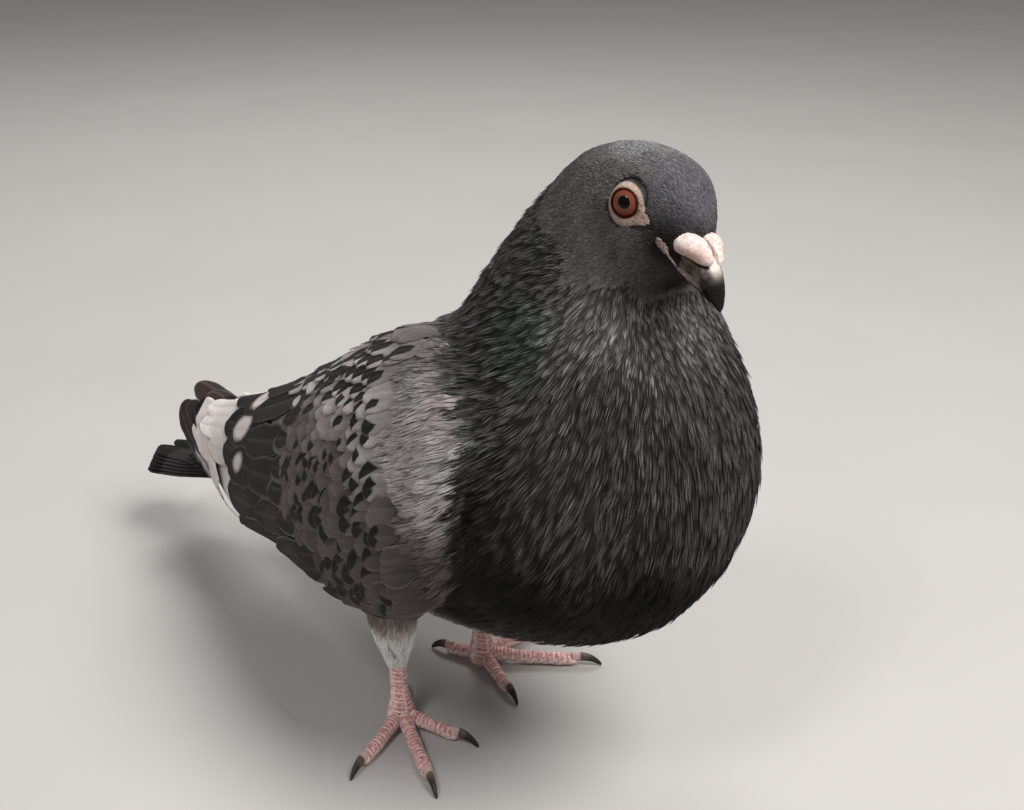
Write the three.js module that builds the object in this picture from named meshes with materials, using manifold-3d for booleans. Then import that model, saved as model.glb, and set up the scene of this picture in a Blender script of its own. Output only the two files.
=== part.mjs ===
// A life-size homing pigeon standing with its crop blown up, as a still model. Millimetres.
// +X runs from tail to bill, +Y to the bird's left and +Z up; the bird stands on Z = 0.
// The soft body is one loft from the bill to the tail root, parted by thin cuts into head, neck, crop, trunk
// and rump. Wings, tail feathers, bill, wattles, eyes, legs, toes and claws are solids of their own.
import * as THREE from 'three';
import { mergeVertices } from 'three/addons/utils/BufferGeometryUtils.js';
import Module from 'manifold-3d';

const wasm = await Module();
wasm.setup();

// ---- driving dimensions -------------------------------------------------------------------------
const GAP = 0.3; // left between two solids that meet
const SIDES = { right: -1, left: 1 }; // the sign of Y on each side

// The soft body, slice by slice from the face to the tail root: where the slice meets the line of the back,
// where it meets the line of throat and belly (both as X and Z), its half width and how far down it is
// widest. A throat below 1 squares off the lower half of the slice.
const BODY = [
  { name: 'face', back: [105.5, 187.4], front: [102, 178], half: 4.6, widest: 0.5, throat: 0.9 },
  { name: 'mouth', back: [105.7, 191], front: [100.2, 175.2], half: 7.4, widest: 0.5, throat: 0.8 },
  { name: 'lore', back: [103.6, 197.2], front: [97.2, 172.5], half: 9.9, widest: 0.5, throat: 0.7 },
  { name: 'brow', back: [98.6, 204.8], front: [94.8, 170], half: 13.6, widest: 0.5, throat: 0.65 },
  { name: 'crown', back: [83, 207.3], front: [93.5, 167.3], half: 15.2, widest: 0.52, throat: 0.65 },
  { name: 'occiput', back: [64.6, 202.4], front: [96.5, 162.5], half: 18.5, widest: 0.58, throat: 0.75 },
  { name: 'nape', back: [48.8, 188.8], front: [102, 155], half: 24.5, widest: 0.58, throat: 0.9 },
  { name: 'neck', back: [34.8, 170.2], front: [110.2, 142.5], half: 33, widest: 0.56 },
  { name: 'crop_top', back: [22, 151], front: [115.4, 122], half: 43, widest: 0.54 },
  { name: 'crop', back: [5, 141], front: [113, 97], half: 50, widest: 0.54 },
  { name: 'breast', back: [-11, 131], front: [96.6, 69.5], half: 50, widest: 0.54 },
  { name: 'keel', back: [-28, 118.5], front: [64, 54], half: 46, widest: 0.52 },
  { name: 'belly', back: [-45, 106.5], front: [22, 44], half: 40, widest: 0.5 },
  { name: 'flank', back: [-65, 94.5], front: [-22, 41], half: 33, widest: 0.48 },
  { name: 'loin', back: [-88, 82.5], front: [-62, 44], half: 25, widest: 0.46 },
  { name: 'rump', back: [-109, 71.5], front: [-101, 42], half: 16, widest: 0.45 },
  { name: 'tail_root', back: [-129, 58], front: [-127, 37], half: 10.5, widest: 0.5 },
  { name: 'tail_coverts', back: [-147, 47.5], front: [-150, 34], half: 8.5, widest: 0.5 },
];
const BODY_PARTS = [
  { name: 'head', from: 'face', to: 'occiput', finish: 'slate' },
  { name: 'neck', from: 'occiput', to: 'neck', finish: 'iridescent' },
  { name: 'crop', from: 'neck', to: 'breast', finish: 'iridescent' },
  { name: 'trunk', from: 'breast', to: 'loin', finish: 'slate' },
  { name: 'rump', from: 'loin', to: 'tail_coverts', finish: 'slate' },
];
const CUT = 0.03; // half a parting cut between two body parts, in slices
const WING_CUT = 0.01; // a parting cut between two parts of a wing, in sections
const SLICES_EACH = 2; // slices lofted from one station to the next
const BODY_SIDES = 22;
const EYE_SIDES = 12;
const WING_SIDES = 16;
const WING_RINGS_EACH = 1.8; // rings lofted from one section of the wing to the next

const HEAD_TURN = { angle: 8, pivot: [72, 0], from: 'neck', full: 'occiput' }; // degrees, to the right

// The eye: its centre (its distance from the middle is out), its radius, and the way it looks.
const EYE = { x: 91.3, z: 195, out: 9.7, ball: 5.4, ahead: 0.34, up: 0.08 };
// The bare rim round it: its two radii, and how far its foot and its two lips are from the eye's centre.
const RIM = { inner: 3.6, outer: 5.3, foot: 1.8, outerLip: 3.3, innerLip: 4.4 };
// Each half of the bill follows a bend through three points (X and Z), and is thickest at its root.
const BILL = {
  upper: { bend: [[97, 183.5], [111, 184.5], [114.2, 170.4]], wide: 4.7, high: 3.9, deep: 2.4 },
  lower: { bend: [[97, 181.2], [108.5, 181.8], [112.9, 172.6]], wide: 4, high: 2.5, deep: 2.5 },
};
const BILL_TIP = 0.17; // the size of a bill's tip against its root
// One lobe of the wattle, from behind the nostril over its crest to its front end on the bill.
const WATTLE = {
  bend: [[98.6, 4.2, 185.8], [105.5, 4.2, 190.4], [109.6, 1.6, 181.2]],
  wide: 3.5,
  high: 3.5,
  deep: 2.5,
  crest: 0.4, // how far along a lobe it is thickest
  blunt: 0.06, // squared size of its ends
};

// The folded wing, section by section from the wrist to the tip: X, the upper edge and the lower edge (both
// as distance from the middle and Z), how far the outer face bulges from the line between them, and how deep
// the section is before the body is cut out of it.
const WING = [
  { x: 70, top: [42, 131], low: [45, 100], bulge: 4, deep: 14 },
  { x: 57, top: [32, 147], low: [45, 79], bulge: 17, deep: 18 },
  { x: 32, top: [22, 150.5], low: [44, 63], bulge: 21, deep: 18 },
  { x: 0, top: [13, 138], low: [40.5, 55], bulge: 22.5, deep: 17 },
  { x: -35, top: [6.5, 116], low: [32.5, 52], bulge: 20, deep: 16 },
  { x: -70, top: [3.5, 96.5], low: [24.5, 45], bulge: 14.5, deep: 14 },
  { x: -98, top: [2.6, 83], low: [17, 40], bulge: 9.5, deep: 9 },
  { x: -120, top: [2.4, 74], low: [12, 45], bulge: 5, deep: 4 },
];
const WING_PARTS = [
  { name: 'coverts', from: 0, to: 5, finish: 'lavender' },
  { name: 'secondaries', from: 5, to: 7, finish: 'black' },
];
// The blades of the longest wing feathers, the longest first: the middle of each tip as X and Z, and the
// height of its middle where it leaves the wing.
const BLADES = [
  { tip: [-153, 60.5], base: 48.5 },
  { tip: [-147, 62], base: 52 },
  { tip: [-139, 64], base: 55 },
  { tip: [-130, 66], base: 58 },
];
// A blade is a flat strip. The innermost one passes through at, given as its distance from the middle, X and
// Z; from there its plane spreads outwards towards the front and leans inwards towards the top.
const BLADE = {
  from: -95,
  half: 11,
  thick: 0.7,
  layer: 1.05,
  at: [5.6, -153, 60],
  flare: 0.06,
  lean: 0.33,
};
const BLADE_LIFT = { right: 0, left: 6.5 }; // how much higher the tip lies
const WING_EDGE = 1.1; // thickness of a wing along its edges

const TAIL = { root: [-100, 0, 52], slope: 11, length: 77, half: 8.8, thick: 0.6, layer: 0.95 };
const TAIL_FAN = { pairs: 6, spread: 1.2, roof: 70 }; // degrees from pair to pair, and radius of the arch

// Where each foot's toes meet, and the way that each toe points on the floor, in degrees left of +X.
const FEET = {
  right: { at: [3.2, -22], toes: { inner: 18, middle: -25, outer: -68, hind: 138 } },
  left: { at: [-4.5, 22], toes: { inner: -19, middle: 44, outer: 92, hind: 200 } },
};
const TOES = {
  inner: { length: 29, claw: 9 },
  middle: { length: 42, claw: 10 },
  outer: { length: 34, claw: 9 },
  hind: { length: 21, claw: 8 },
};
const TOE = { root: 2.25, end: 1.95, sole: 0.6, rootHeight: 5, height: 2.2 };
const CLAW = { root: 1.35, tip: 0.3, rise: 4, height: 2.4 };
const LEG_LEAN = -0.076; // how far a leg goes forward as it rises
// A leg from the floor upwards, as height and radius: the pad of the foot, the scaled shank, the feathering.
const LEG = {
  pad: [[0, 3.6], [1.4, 4.7], [4, 5], [7, 4.3], [10, 3.5]],
  shank: [[14, 2.8], [18, 2.8], [21, 3]],
  feathering: [[21.3, 3.6], [26, 4.8], [32, 7], [40, 8.8], [56, 10]],
};

// ---- tools --------------------------------------------------------------------------------------
const point = (x, y, z) => new THREE.Vector3(x, y, z);
const radians = THREE.MathUtils.degToRad;

// A smooth value at place t, counted in stations, through one number per station.
function through(values, t) {
  const last = values.length - 1;
  const i = Math.min(Math.floor(t), last - 1);
  const at = (k) => values[Math.min(Math.max(k, 0), last)];
  const f = t - i;
  const leave = (at(i + 1) - at(i - 1)) / 2;
  const arrive = (at(i + 2) - at(i)) / 2;
  const rise = f * f * (3 - 2 * f);
  return at(i) * (1 - rise) + at(i + 1) * rise + leave * f * (1 - f) ** 2 - arrive * f * f * (1 - f);
}

// A closed solid over rings of equally many points, closed at both ends by fans.
function skinOver(rings) {
  const count = rings[0].length;
  const middle = (ring) => ring.reduce((sum, p) => sum.add(p), point(0, 0, 0)).divideScalar(count);
  const points = [...rings.flat(), middle(rings[0]), middle(rings.at(-1))];
  const first = points.length - 2;
  const base = first - count;
  const faces = [];
  for (let k = 0; k < count; k += 1) {
    const next = (k + 1) % count;
    for (let r = 0; r < base; r += count) {
      faces.push(r + k, r + next, r + k + count, r + next, r + next + count, r + k + count);
    }
    faces.push(first, next, k, first + 1, base + k, base + next);
  }
  return new THREE.BufferGeometry().setFromPoints(points).setIndex(faces);
}

// The manifold solid of a closed geometry, turned to face outwards.
function solid(geometry) {
  const bare = new THREE.BufferGeometry().setAttribute('position', geometry.getAttribute('position'));
  bare.setIndex(geometry.index);
  const merged = mergeVertices(bare, 1e-4);
  const vertProperties = new Float32Array(merged.getAttribute('position').array);
  const triVerts = new Uint32Array(merged.index.array);
  const made = new wasm.Manifold(new wasm.Mesh({ numProp: 3, vertProperties, triVerts }));
  if (made.volume() > 0) return made;
  return new wasm.Manifold(new wasm.Mesh({ numProp: 3, vertProperties, triVerts: triVerts.reverse() }));
}

// The geometry of a manifold solid's largest body.
function geometryOf(made) {
  const bodies = made.decompose().sort((a, b) => b.volume() - a.volume());
  const mesh = bodies[0].getMesh();
  const positions = new THREE.BufferAttribute(mesh.vertProperties, 3);
  const faces = new THREE.BufferAttribute(mesh.triVerts, 1);
  return new THREE.BufferGeometry().setAttribute('position', positions).setIndex(faces);
}

// A tube along a path in a vertical plane. Its girth at place t is [half width, rise, drop]; side points
// across the path; with a floor, nothing reaches below Z = 0.
function tube(path, side, girth, { count = 10, sides = 12, floor = false } = {}) {
  const rings = [];
  for (let i = 0; i <= count; i += 1) {
    const t = i / count;
    const centre = path.getPoint(t);
    const up = path.getTangent(t).cross(side).normalize();
    if (up.z < 0 && Math.abs(up.z) > 0.2) up.negate();
    const [half, rise, drop] = girth(t);
    const ring = [];
    for (let k = 0; k < sides; k += 1) {
      const angle = (2 * Math.PI * k) / sides;
      const high = Math.sin(angle);
      const p = centre.clone().addScaledVector(side, Math.cos(angle) * half);
      p.addScaledVector(up, high * (high > 0 ? rise : drop));
      if (floor) p.z = Math.max(p.z, 0);
      ring.push(p);
    }
    rings.push(ring);
  }
  return skinOver(rings);
}
const bend = (a, b, c) => new THREE.QuadraticBezierCurve3(point(...a), point(...b), point(...c));

const bird = new THREE.Group();
const FINISHES = {
  slate: { color: 0x44474b, roughness: 0.75, metalness: 0 },
  iridescent: { color: 0x2e3233, roughness: 0.55, metalness: 0 },
  lavender: { color: 0x8d878b, roughness: 0.75, metalness: 0 },
  black: { color: 0x242122, roughness: 0.7, metalness: 0 },
  white: { color: 0xd9d2cc, roughness: 0.8, metalness: 0 },
  wattle: { color: 0xe6dcd6, roughness: 0.9, metalness: 0 },
  horn: { color: 0x36322f, roughness: 0.4, metalness: 0 },
  iris: { color: 0xa8522a, roughness: 0.08, metalness: 0 },
  rim: { color: 0xc9b7a2, roughness: 0.7, metalness: 0 },
  scales: { color: 0x9c5a58, roughness: 0.6, metalness: 0 },
};

function add(name, made, finish) {
  const geometry = geometryOf(made);
  geometry.computeVertexNormals();
  const mesh = new THREE.Mesh(geometry, new THREE.MeshStandardMaterial(FINISHES[finish]));
  mesh.name = name;
  bird.add(mesh);
}

// ---- soft body ----------------------------------------------------------------------------------
const station = (name) => BODY.findIndex((s) => s.name === name);

// Turns a point of the head about the upright pivot, by the given share of the head's turn.
function turned(p, share) {
  const pivot = point(...HEAD_TURN.pivot, 0);
  return p.sub(pivot).applyAxisAngle(point(0, 0, 1), -radians(HEAD_TURN.angle) * share).add(pivot);
}
function turnedGeometry(geometry) {
  const [x, y] = HEAD_TURN.pivot;
  return geometry.translate(-x, -y, 0).rotateZ(-radians(HEAD_TURN.angle)).translate(x, y, 0);
}

// The slice of the soft body at place t, grown outwards by swell.
function bodySlice(t, swell) {
  const value = (pick) => through(BODY.map(pick), t);
  const back = point(value((s) => s.back[0]), 0, value((s) => s.back[1]));
  const front = point(value((s) => s.front[0]), 0, value((s) => s.front[1]));
  const down = front.clone().sub(back).normalize();
  const centre = back.clone().lerp(front, value((s) => s.widest));
  const above = centre.distanceTo(back) + swell;
  const below = centre.distanceTo(front) + swell;
  const half = value((s) => s.half) + swell;
  const throat = value((s) => s.throat ?? 1);
  const { from, full } = HEAD_TURN;
  const turn = THREE.MathUtils.smoothstep(-t, -station(from), -station(full));
  const ring = [];
  for (let k = 0; k < BODY_SIDES; k += 1) {
    const angle = (2 * Math.PI * k) / BODY_SIDES;
    const along = Math.cos(angle);
    const p = centre.clone().addScaledVector(down, -along * (along > 0 ? above : below));
    const side = Math.sin(angle);
    p.y = half * Math.sign(side) * Math.abs(side) ** (along > 0 ? 1 : throat);
    ring.push(turned(p, turn));
  }
  return ring;
}

function bodyLoft(from, to, { swell = 0, early = 0, late = 0 } = {}) {
  const start = station(from) + early;
  const span = station(to) - late - start;
  const count = (station(to) - station(from)) * SLICES_EACH;
  const rings = Array.from({ length: count + 1 }, (_, i) => bodySlice(start + (span * i) / count, swell));
  return solid(skinOver(rings));
}

const flesh = {};
for (const { name, from, to } of BODY_PARTS) {
  const early = from === 'face' ? 0 : CUT;
  const late = to === 'tail_coverts' ? 0 : CUT;
  flesh[name] = bodyLoft(from, to, { early, late });
}
const fleshCutter = bodyLoft('face', 'tail_coverts', { swell: GAP });

// ---- eyes ---------------------------------------------------------------------------------------
function placedEye(geometry, sign) {
  const look = point(EYE.ahead, sign, EYE.up).normalize();
  const turn = new THREE.Quaternion().setFromUnitVectors(point(0, 1, 0), look);
  return solid(turnedGeometry(geometry.applyQuaternion(turn).translate(EYE.x, sign * EYE.out, EYE.z)));
}
const eyeball = (radius, sign) => placedEye(new THREE.SphereGeometry(radius, EYE_SIDES, 8), sign);

function eyeRim(grow, sign) {
  const inner = RIM.inner - grow;
  const outer = RIM.outer + grow;
  const foot = RIM.foot - grow;
  const profile = [
    [inner, foot],
    [outer, foot],
    [outer, RIM.outerLip + grow],
    [inner, RIM.innerLip + grow],
    [inner, foot],
  ].map(([r, h]) => new THREE.Vector2(r, h));
  return placedEye(new THREE.LatheGeometry(profile, EYE_SIDES), sign);
}

function makeEyes() {
  for (const [side, sign] of Object.entries(SIDES)) {
    const socket = eyeball(EYE.ball + GAP, sign);
    flesh.head = flesh.head.subtract(socket).subtract(eyeRim(GAP, sign));
    add(`eye_${side}`, eyeball(EYE.ball, sign), 'iris');
    add(`eye_rim_${side}`, eyeRim(0, sign).subtract(socket), 'rim');
  }
}

// ---- bill and wattles ---------------------------------------------------------------------------
function billHalf({ bend: ends, wide, high, deep }, grow, rounds) {
  const path = bend(...ends.map(([x, z]) => [x, 0, z]));
  const size = (t) => Math.sqrt(1 - t ** 2 * (1 - BILL_TIP ** 2));
  const girth = (t) => [wide, high, deep].map((radius) => radius * size(t) + grow);
  return solid(turnedGeometry(tube(path, point(0, 1, 0), girth, rounds)));
}

function wattleLobe(sign) {
  const { wide, high, deep, crest, blunt } = WATTLE;
  const path = bend(...WATTLE.bend.map(([x, y, z]) => [x, sign * y, z]));
  const size = (t) => {
    const away = t > crest ? (t - crest) / (1 - crest) : 1 - t / crest;
    return Math.sqrt(1 - (1 - blunt) * away ** 2);
  };
  const girth = (t) => [wide, high, deep].map((radius) => radius * size(t));
  const whole = solid(tube(path, point(0, 1, 0), girth, { count: 7, sides: 8 }));
  return solid(turnedGeometry(geometryOf(whole.trimByPlane([0, sign, 0], GAP / 2))));
}

function makeBill() {
  const rounds = { count: 8, sides: 10 };
  const upperCutter = billHalf(BILL.upper, GAP, rounds);
  const face = bodyLoft('face', 'crown', { swell: GAP });
  add('bill_upper', billHalf(BILL.upper, 0, rounds).subtract(face), 'horn');
  const lower = billHalf(BILL.lower, 0, { count: 6, sides: 8 });
  add('bill_lower', lower.subtract(face).subtract(upperCutter), 'horn');
  for (const [side, sign] of Object.entries(SIDES)) {
    add(`wattle_${side}`, wattleLobe(sign).subtract(face).subtract(upperCutter), 'wattle');
  }
}

// ---- wings --------------------------------------------------------------------------------------
function wingSection(t, sign, swell = 0) {
  const value = (pick) => through(WING.map(pick), t);
  const top = new THREE.Vector2(value((s) => s.top[0]), value((s) => s.top[1]));
  const low = new THREE.Vector2(value((s) => s.low[0]), value((s) => s.low[1]));
  const middle = top.clone().lerp(low, 0.5);
  const half = top.clone().sub(middle);
  const out = new THREE.Vector2(half.y, -half.x).normalize();
  half.multiplyScalar(1 + swell / half.length());
  const bulge = value((s) => s.bulge);
  const inner = bulge - value((s) => s.deep) - swell;
  const x = value((s) => s.x);
  const steps = WING_SIDES / 2;
  const ring = [];
  for (let k = 0; k < 2 * steps; k += 1) {
    const outside = k <= steps;
    const angle = (Math.PI * (outside ? k : 2 * steps - k)) / steps;
    const offset = outside ? bulge * Math.sin(angle) + WING_EDGE + swell : inner * Math.sin(angle);
    const p = middle.clone().addScaledVector(half, Math.cos(angle)).addScaledVector(out, offset);
    ring.push(point(x, sign * p.x, p.y));
  }
  return ring;
}

function makeWings() {
  for (const [side, sign] of Object.entries(SIDES)) {
    WING_PARTS.forEach(({ name, from, to, finish }, i) => {
      const early = i > 0 ? WING_CUT : 0;
      const span = to - from - early;
      const count = Math.round(span * WING_RINGS_EACH);
      const rings = Array.from({ length: count + 1 }, (_, k) =>
        wingSection(from + early + (span * k) / count, sign),
      );
      add(`wing_${side}_${name}`, solid(skinOver(rings)).subtract(fleshCutter), finish);
    });
  }
}

// The outer blades lie one inside the other against the body, and reach past the rest of the wing.
function makeBlades() {
  const steps = [0, 0.5, 0.75, 0.9, 0.97, 1];
  for (const [side, sign] of Object.entries(SIDES)) {
    const wing = Array.from({ length: 5 }, (_, k) => wingSection(WING_PARTS[1].from + k / 2, sign, GAP));
    for (const p of wing.at(-1)) p.x -= GAP;
    const wingCutter = solid(skinOver(wing));
    BLADES.forEach(({ tip, base }, i) => {
      const rings = steps.map((t) => {
        const x = THREE.MathUtils.lerp(BLADE.from, tip[0], t);
        const rise = (BLADE_LIFT[side] * t ** 2) / (1 + 2 * i);
        const middle = THREE.MathUtils.lerp(base, tip[1], t) + rise;
        const half = BLADE.half * Math.sqrt(1 - 0.93 * t ** 3);
        const { at, flare, lean, layer, thick } = BLADE;
        const out = (z) => at[0] + i * layer + flare * (x - at[1]) - lean * (z - at[2]);
        const corner = (z, thickness) => point(x, sign * (out(z) + thickness), z);
        const [low, high] = [middle - half, middle + half];
        return [corner(high, 0), corner(low, 0), corner(low, thick), corner(high, thick)];
      });
      const blade = solid(skinOver(rings)).subtract(wingCutter).subtract(fleshCutter);
      add(`primary_${side}_${i + 1}`, blade, i > 1 ? 'white' : 'slate');
    });
  }
}

// ---- tail ---------------------------------------------------------------------------------------
// One feather of the closed tail, bent to the arch of its layer and fanned out by its place in the tail.
function tailFeather(pair, sign) {
  const { length, half, thick, layer, slope, root } = TAIL;
  const fan = radians(TAIL_FAN.spread * (pair + 0.5));
  const rings = [0.3, 0.65, 0.9, 0.98, 1].map((t) => {
    const tip = Math.max(0, (t - 0.9) / 0.1);
    const width = half * Math.min(1, 0.3 + 1.4 * t) * Math.sqrt(1 - 0.9 * tip ** 2);
    const top = [-1, -0.33, 0.33, 1].map((side) => [side * width, -pair * layer]);
    const under = top.map(([across, down]) => [across, down - thick]).reverse();
    return [...top, ...under].map(([across, down]) => {
      const out = sign * (across * Math.cos(fan) + t * length * Math.sin(fan));
      const angle = out / TAIL_FAN.roof;
      const radius = TAIL_FAN.roof + down;
      const back = t * length * Math.cos(fan) - across * Math.sin(fan);
      return point(-back, radius * Math.sin(angle), radius * Math.cos(angle) - TAIL_FAN.roof);
    });
  });
  return skinOver(rings).rotateY(-radians(slope)).translate(...root);
}

function makeTail() {
  for (const [side, sign] of Object.entries(SIDES)) {
    for (let pair = 0; pair < TAIL_FAN.pairs; pair += 1) {
      const half = solid(tailFeather(pair, sign)).trimByPlane([0, sign, 0], GAP / 2);
      add(`tail_${side}_${pair + 1}`, half.subtract(fleshCutter), 'slate');
    }
  }
}

// ---- legs and feet ------------------------------------------------------------------------------
function legSolid(at, levels) {
  const sides = 10;
  const rings = levels.map(([z, radius]) =>
    Array.from({ length: sides }, (_, k) => {
      const angle = (2 * Math.PI * k) / sides;
      return point(at[0] + LEG_LEAN * z + radius * Math.cos(angle), at[1] + radius * Math.sin(angle), z);
    }),
  );
  return solid(skinOver(rings));
}

function makeLeg(side) {
  const { at, toes } = FEET[side];
  add(`tarsus_${side}`, legSolid(at, [...LEG.pad, ...LEG.shank]), 'scales');
  add(`thigh_${side}`, legSolid(at, LEG.feathering).subtract(fleshCutter), 'white');

  const [, , widest, ...upper] = LEG.pad.map(([z, radius]) => [z, radius + GAP]);
  let taken = legSolid(at, [[-1, widest[1]], widest, ...upper]);
  for (const [toe, heading] of Object.entries(toes)) {
    const { length, claw } = TOES[toe];
    const ahead = point(Math.cos(radians(heading)), Math.sin(radians(heading)), 0);
    const across = point(-ahead.y, ahead.x, 0);
    const along = (reach, z) => ahead.clone().multiplyScalar(reach).add(point(at[0], at[1], z)).toArray();
    const end = length - claw;
    const path = bend(along(0, TOE.rootHeight), along(end * 0.35, TOE.height), along(end, TOE.height));
    const toeAt = (grow) => {
      const girth = (t) => {
        const radius = THREE.MathUtils.lerp(TOE.root, TOE.end, t) + grow;
        return [radius, radius, radius + TOE.sole];
      };
      return solid(tube(path, across, girth, { count: 5, sides: 8, floor: true }));
    };
    const shape = toeAt(0);
    add(`toe_${side}_${toe}`, shape.subtract(taken), 'scales');
    taken = taken.add(toeAt(GAP));
    const knuckle = along(end + GAP, CLAW.height);
    const arch = bend(knuckle, along(end + claw * 0.6, CLAW.rise), along(length, CLAW.tip));
    const clawGirth = (t) => Array(3).fill(THREE.MathUtils.lerp(CLAW.root, CLAW.tip, t));
    const hook = tube(arch, across, clawGirth, { count: 3, sides: 6, floor: true });
    add(`claw_${side}_${toe}`, solid(hook).subtract(shape), 'horn');
  }
}

// ---- the whole bird -----------------------------------------------------------------------------
makeEyes();
makeBill();
for (const { name, finish } of BODY_PARTS) add(name, flesh[name], finish);
makeWings();
makeBlades();
makeTail();
makeLeg('right');
makeLeg('left');

// The origin is on the floor under the middle of the bird's box.
const middle = new THREE.Box3().setFromObject(bird).getCenter(point(0, 0, 0));
bird.position.set(-middle.x, -middle.y, 0);

export default bird;
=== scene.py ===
import math

import bmesh
import bpy
import numpy as np
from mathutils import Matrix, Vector
from mathutils.bvhtree import BVHTree


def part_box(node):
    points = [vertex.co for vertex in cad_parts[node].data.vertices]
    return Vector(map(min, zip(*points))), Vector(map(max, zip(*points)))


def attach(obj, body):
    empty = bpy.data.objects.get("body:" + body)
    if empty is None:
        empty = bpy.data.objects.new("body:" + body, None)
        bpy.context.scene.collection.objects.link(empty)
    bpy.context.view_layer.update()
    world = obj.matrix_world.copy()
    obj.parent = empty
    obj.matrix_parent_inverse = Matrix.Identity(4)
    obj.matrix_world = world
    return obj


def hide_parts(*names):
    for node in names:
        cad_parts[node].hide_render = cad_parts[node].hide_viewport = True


# A homing pigeon in life size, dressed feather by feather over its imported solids.
# Lengths are in millimetres up to the moment that a mesh is made, and MM turns them into metres.
# +X runs from tail to bill, +Y to the bird's left, +Z up, and the floor is Z = 0.

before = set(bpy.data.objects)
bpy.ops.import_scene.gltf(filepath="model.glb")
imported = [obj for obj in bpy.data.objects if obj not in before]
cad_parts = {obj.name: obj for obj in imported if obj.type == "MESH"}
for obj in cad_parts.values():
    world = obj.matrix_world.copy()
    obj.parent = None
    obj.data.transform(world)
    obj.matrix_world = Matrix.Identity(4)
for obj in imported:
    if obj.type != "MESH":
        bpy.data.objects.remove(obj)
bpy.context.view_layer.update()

MM = 0.001
SIDES = {"right": -1, "left": 1}


# ---- colours ------------------------------------------------------------------------------------
def ink(code):
    """A colour written as six hex digits, in the linear values that shaders take."""
    steps = [int(code[i : i + 2], 16) / 255 for i in (0, 2, 4)]
    return np.array([c / 12.92 if c < 0.04045 else ((c + 0.055) / 1.055) ** 2.4 for c in steps])


PLUMAGE = {
    # The crown's lighter grey is painted light falling on the top of the head.
    "crown": ink("767677"),
    "forehead": ink("59575c"),
    "brow": ink("555151"),
    "lores": ink("0e0b0a"),
    "cheek": ink("54514f"),
    # The chin's near black is painted shadow under the bill.
    "chin": ink("150b09"),
    "nape": ink("4d4b4b"),
    "neck": ink("4a4c49"),
    "throat": ink("706f6d"),
    "crop": ink("4a4845"),
    # The crop's dark side is painted shade on the side turned away from the light.
    "crop_side": ink("0b0907"),
    # The crop's underside is painted shade, tinged red as painted light reflected from below.
    "crop_low": ink("060101"),
    "belly": ink("443735"),
    "mantle": ink("746f6e"),
    # The slit's dark grey is painted shadow between the mantle and the wing.
    "slit": ink("1f1d1d"),
    "back": ink("676263"),
    "rump": ink("59585b"),
    "boot": ink("fffbf8"),
    # The boot's darker fold ink is painted shade in the folds at the top of the thigh.
    "boot_fold_shade": ink("7d6f6d"),
    "wing_front": ink("a49f9d"),
    "lavender": ink("5d5355"),
    # The lower wing's darker lavender is painted shade.
    "lavender_low": ink("4a4040"),
    "scapular": ink("b9b1af"),
}

SOOT = ink("0b0808")
CREAM = ink("f0e8e3")

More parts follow.
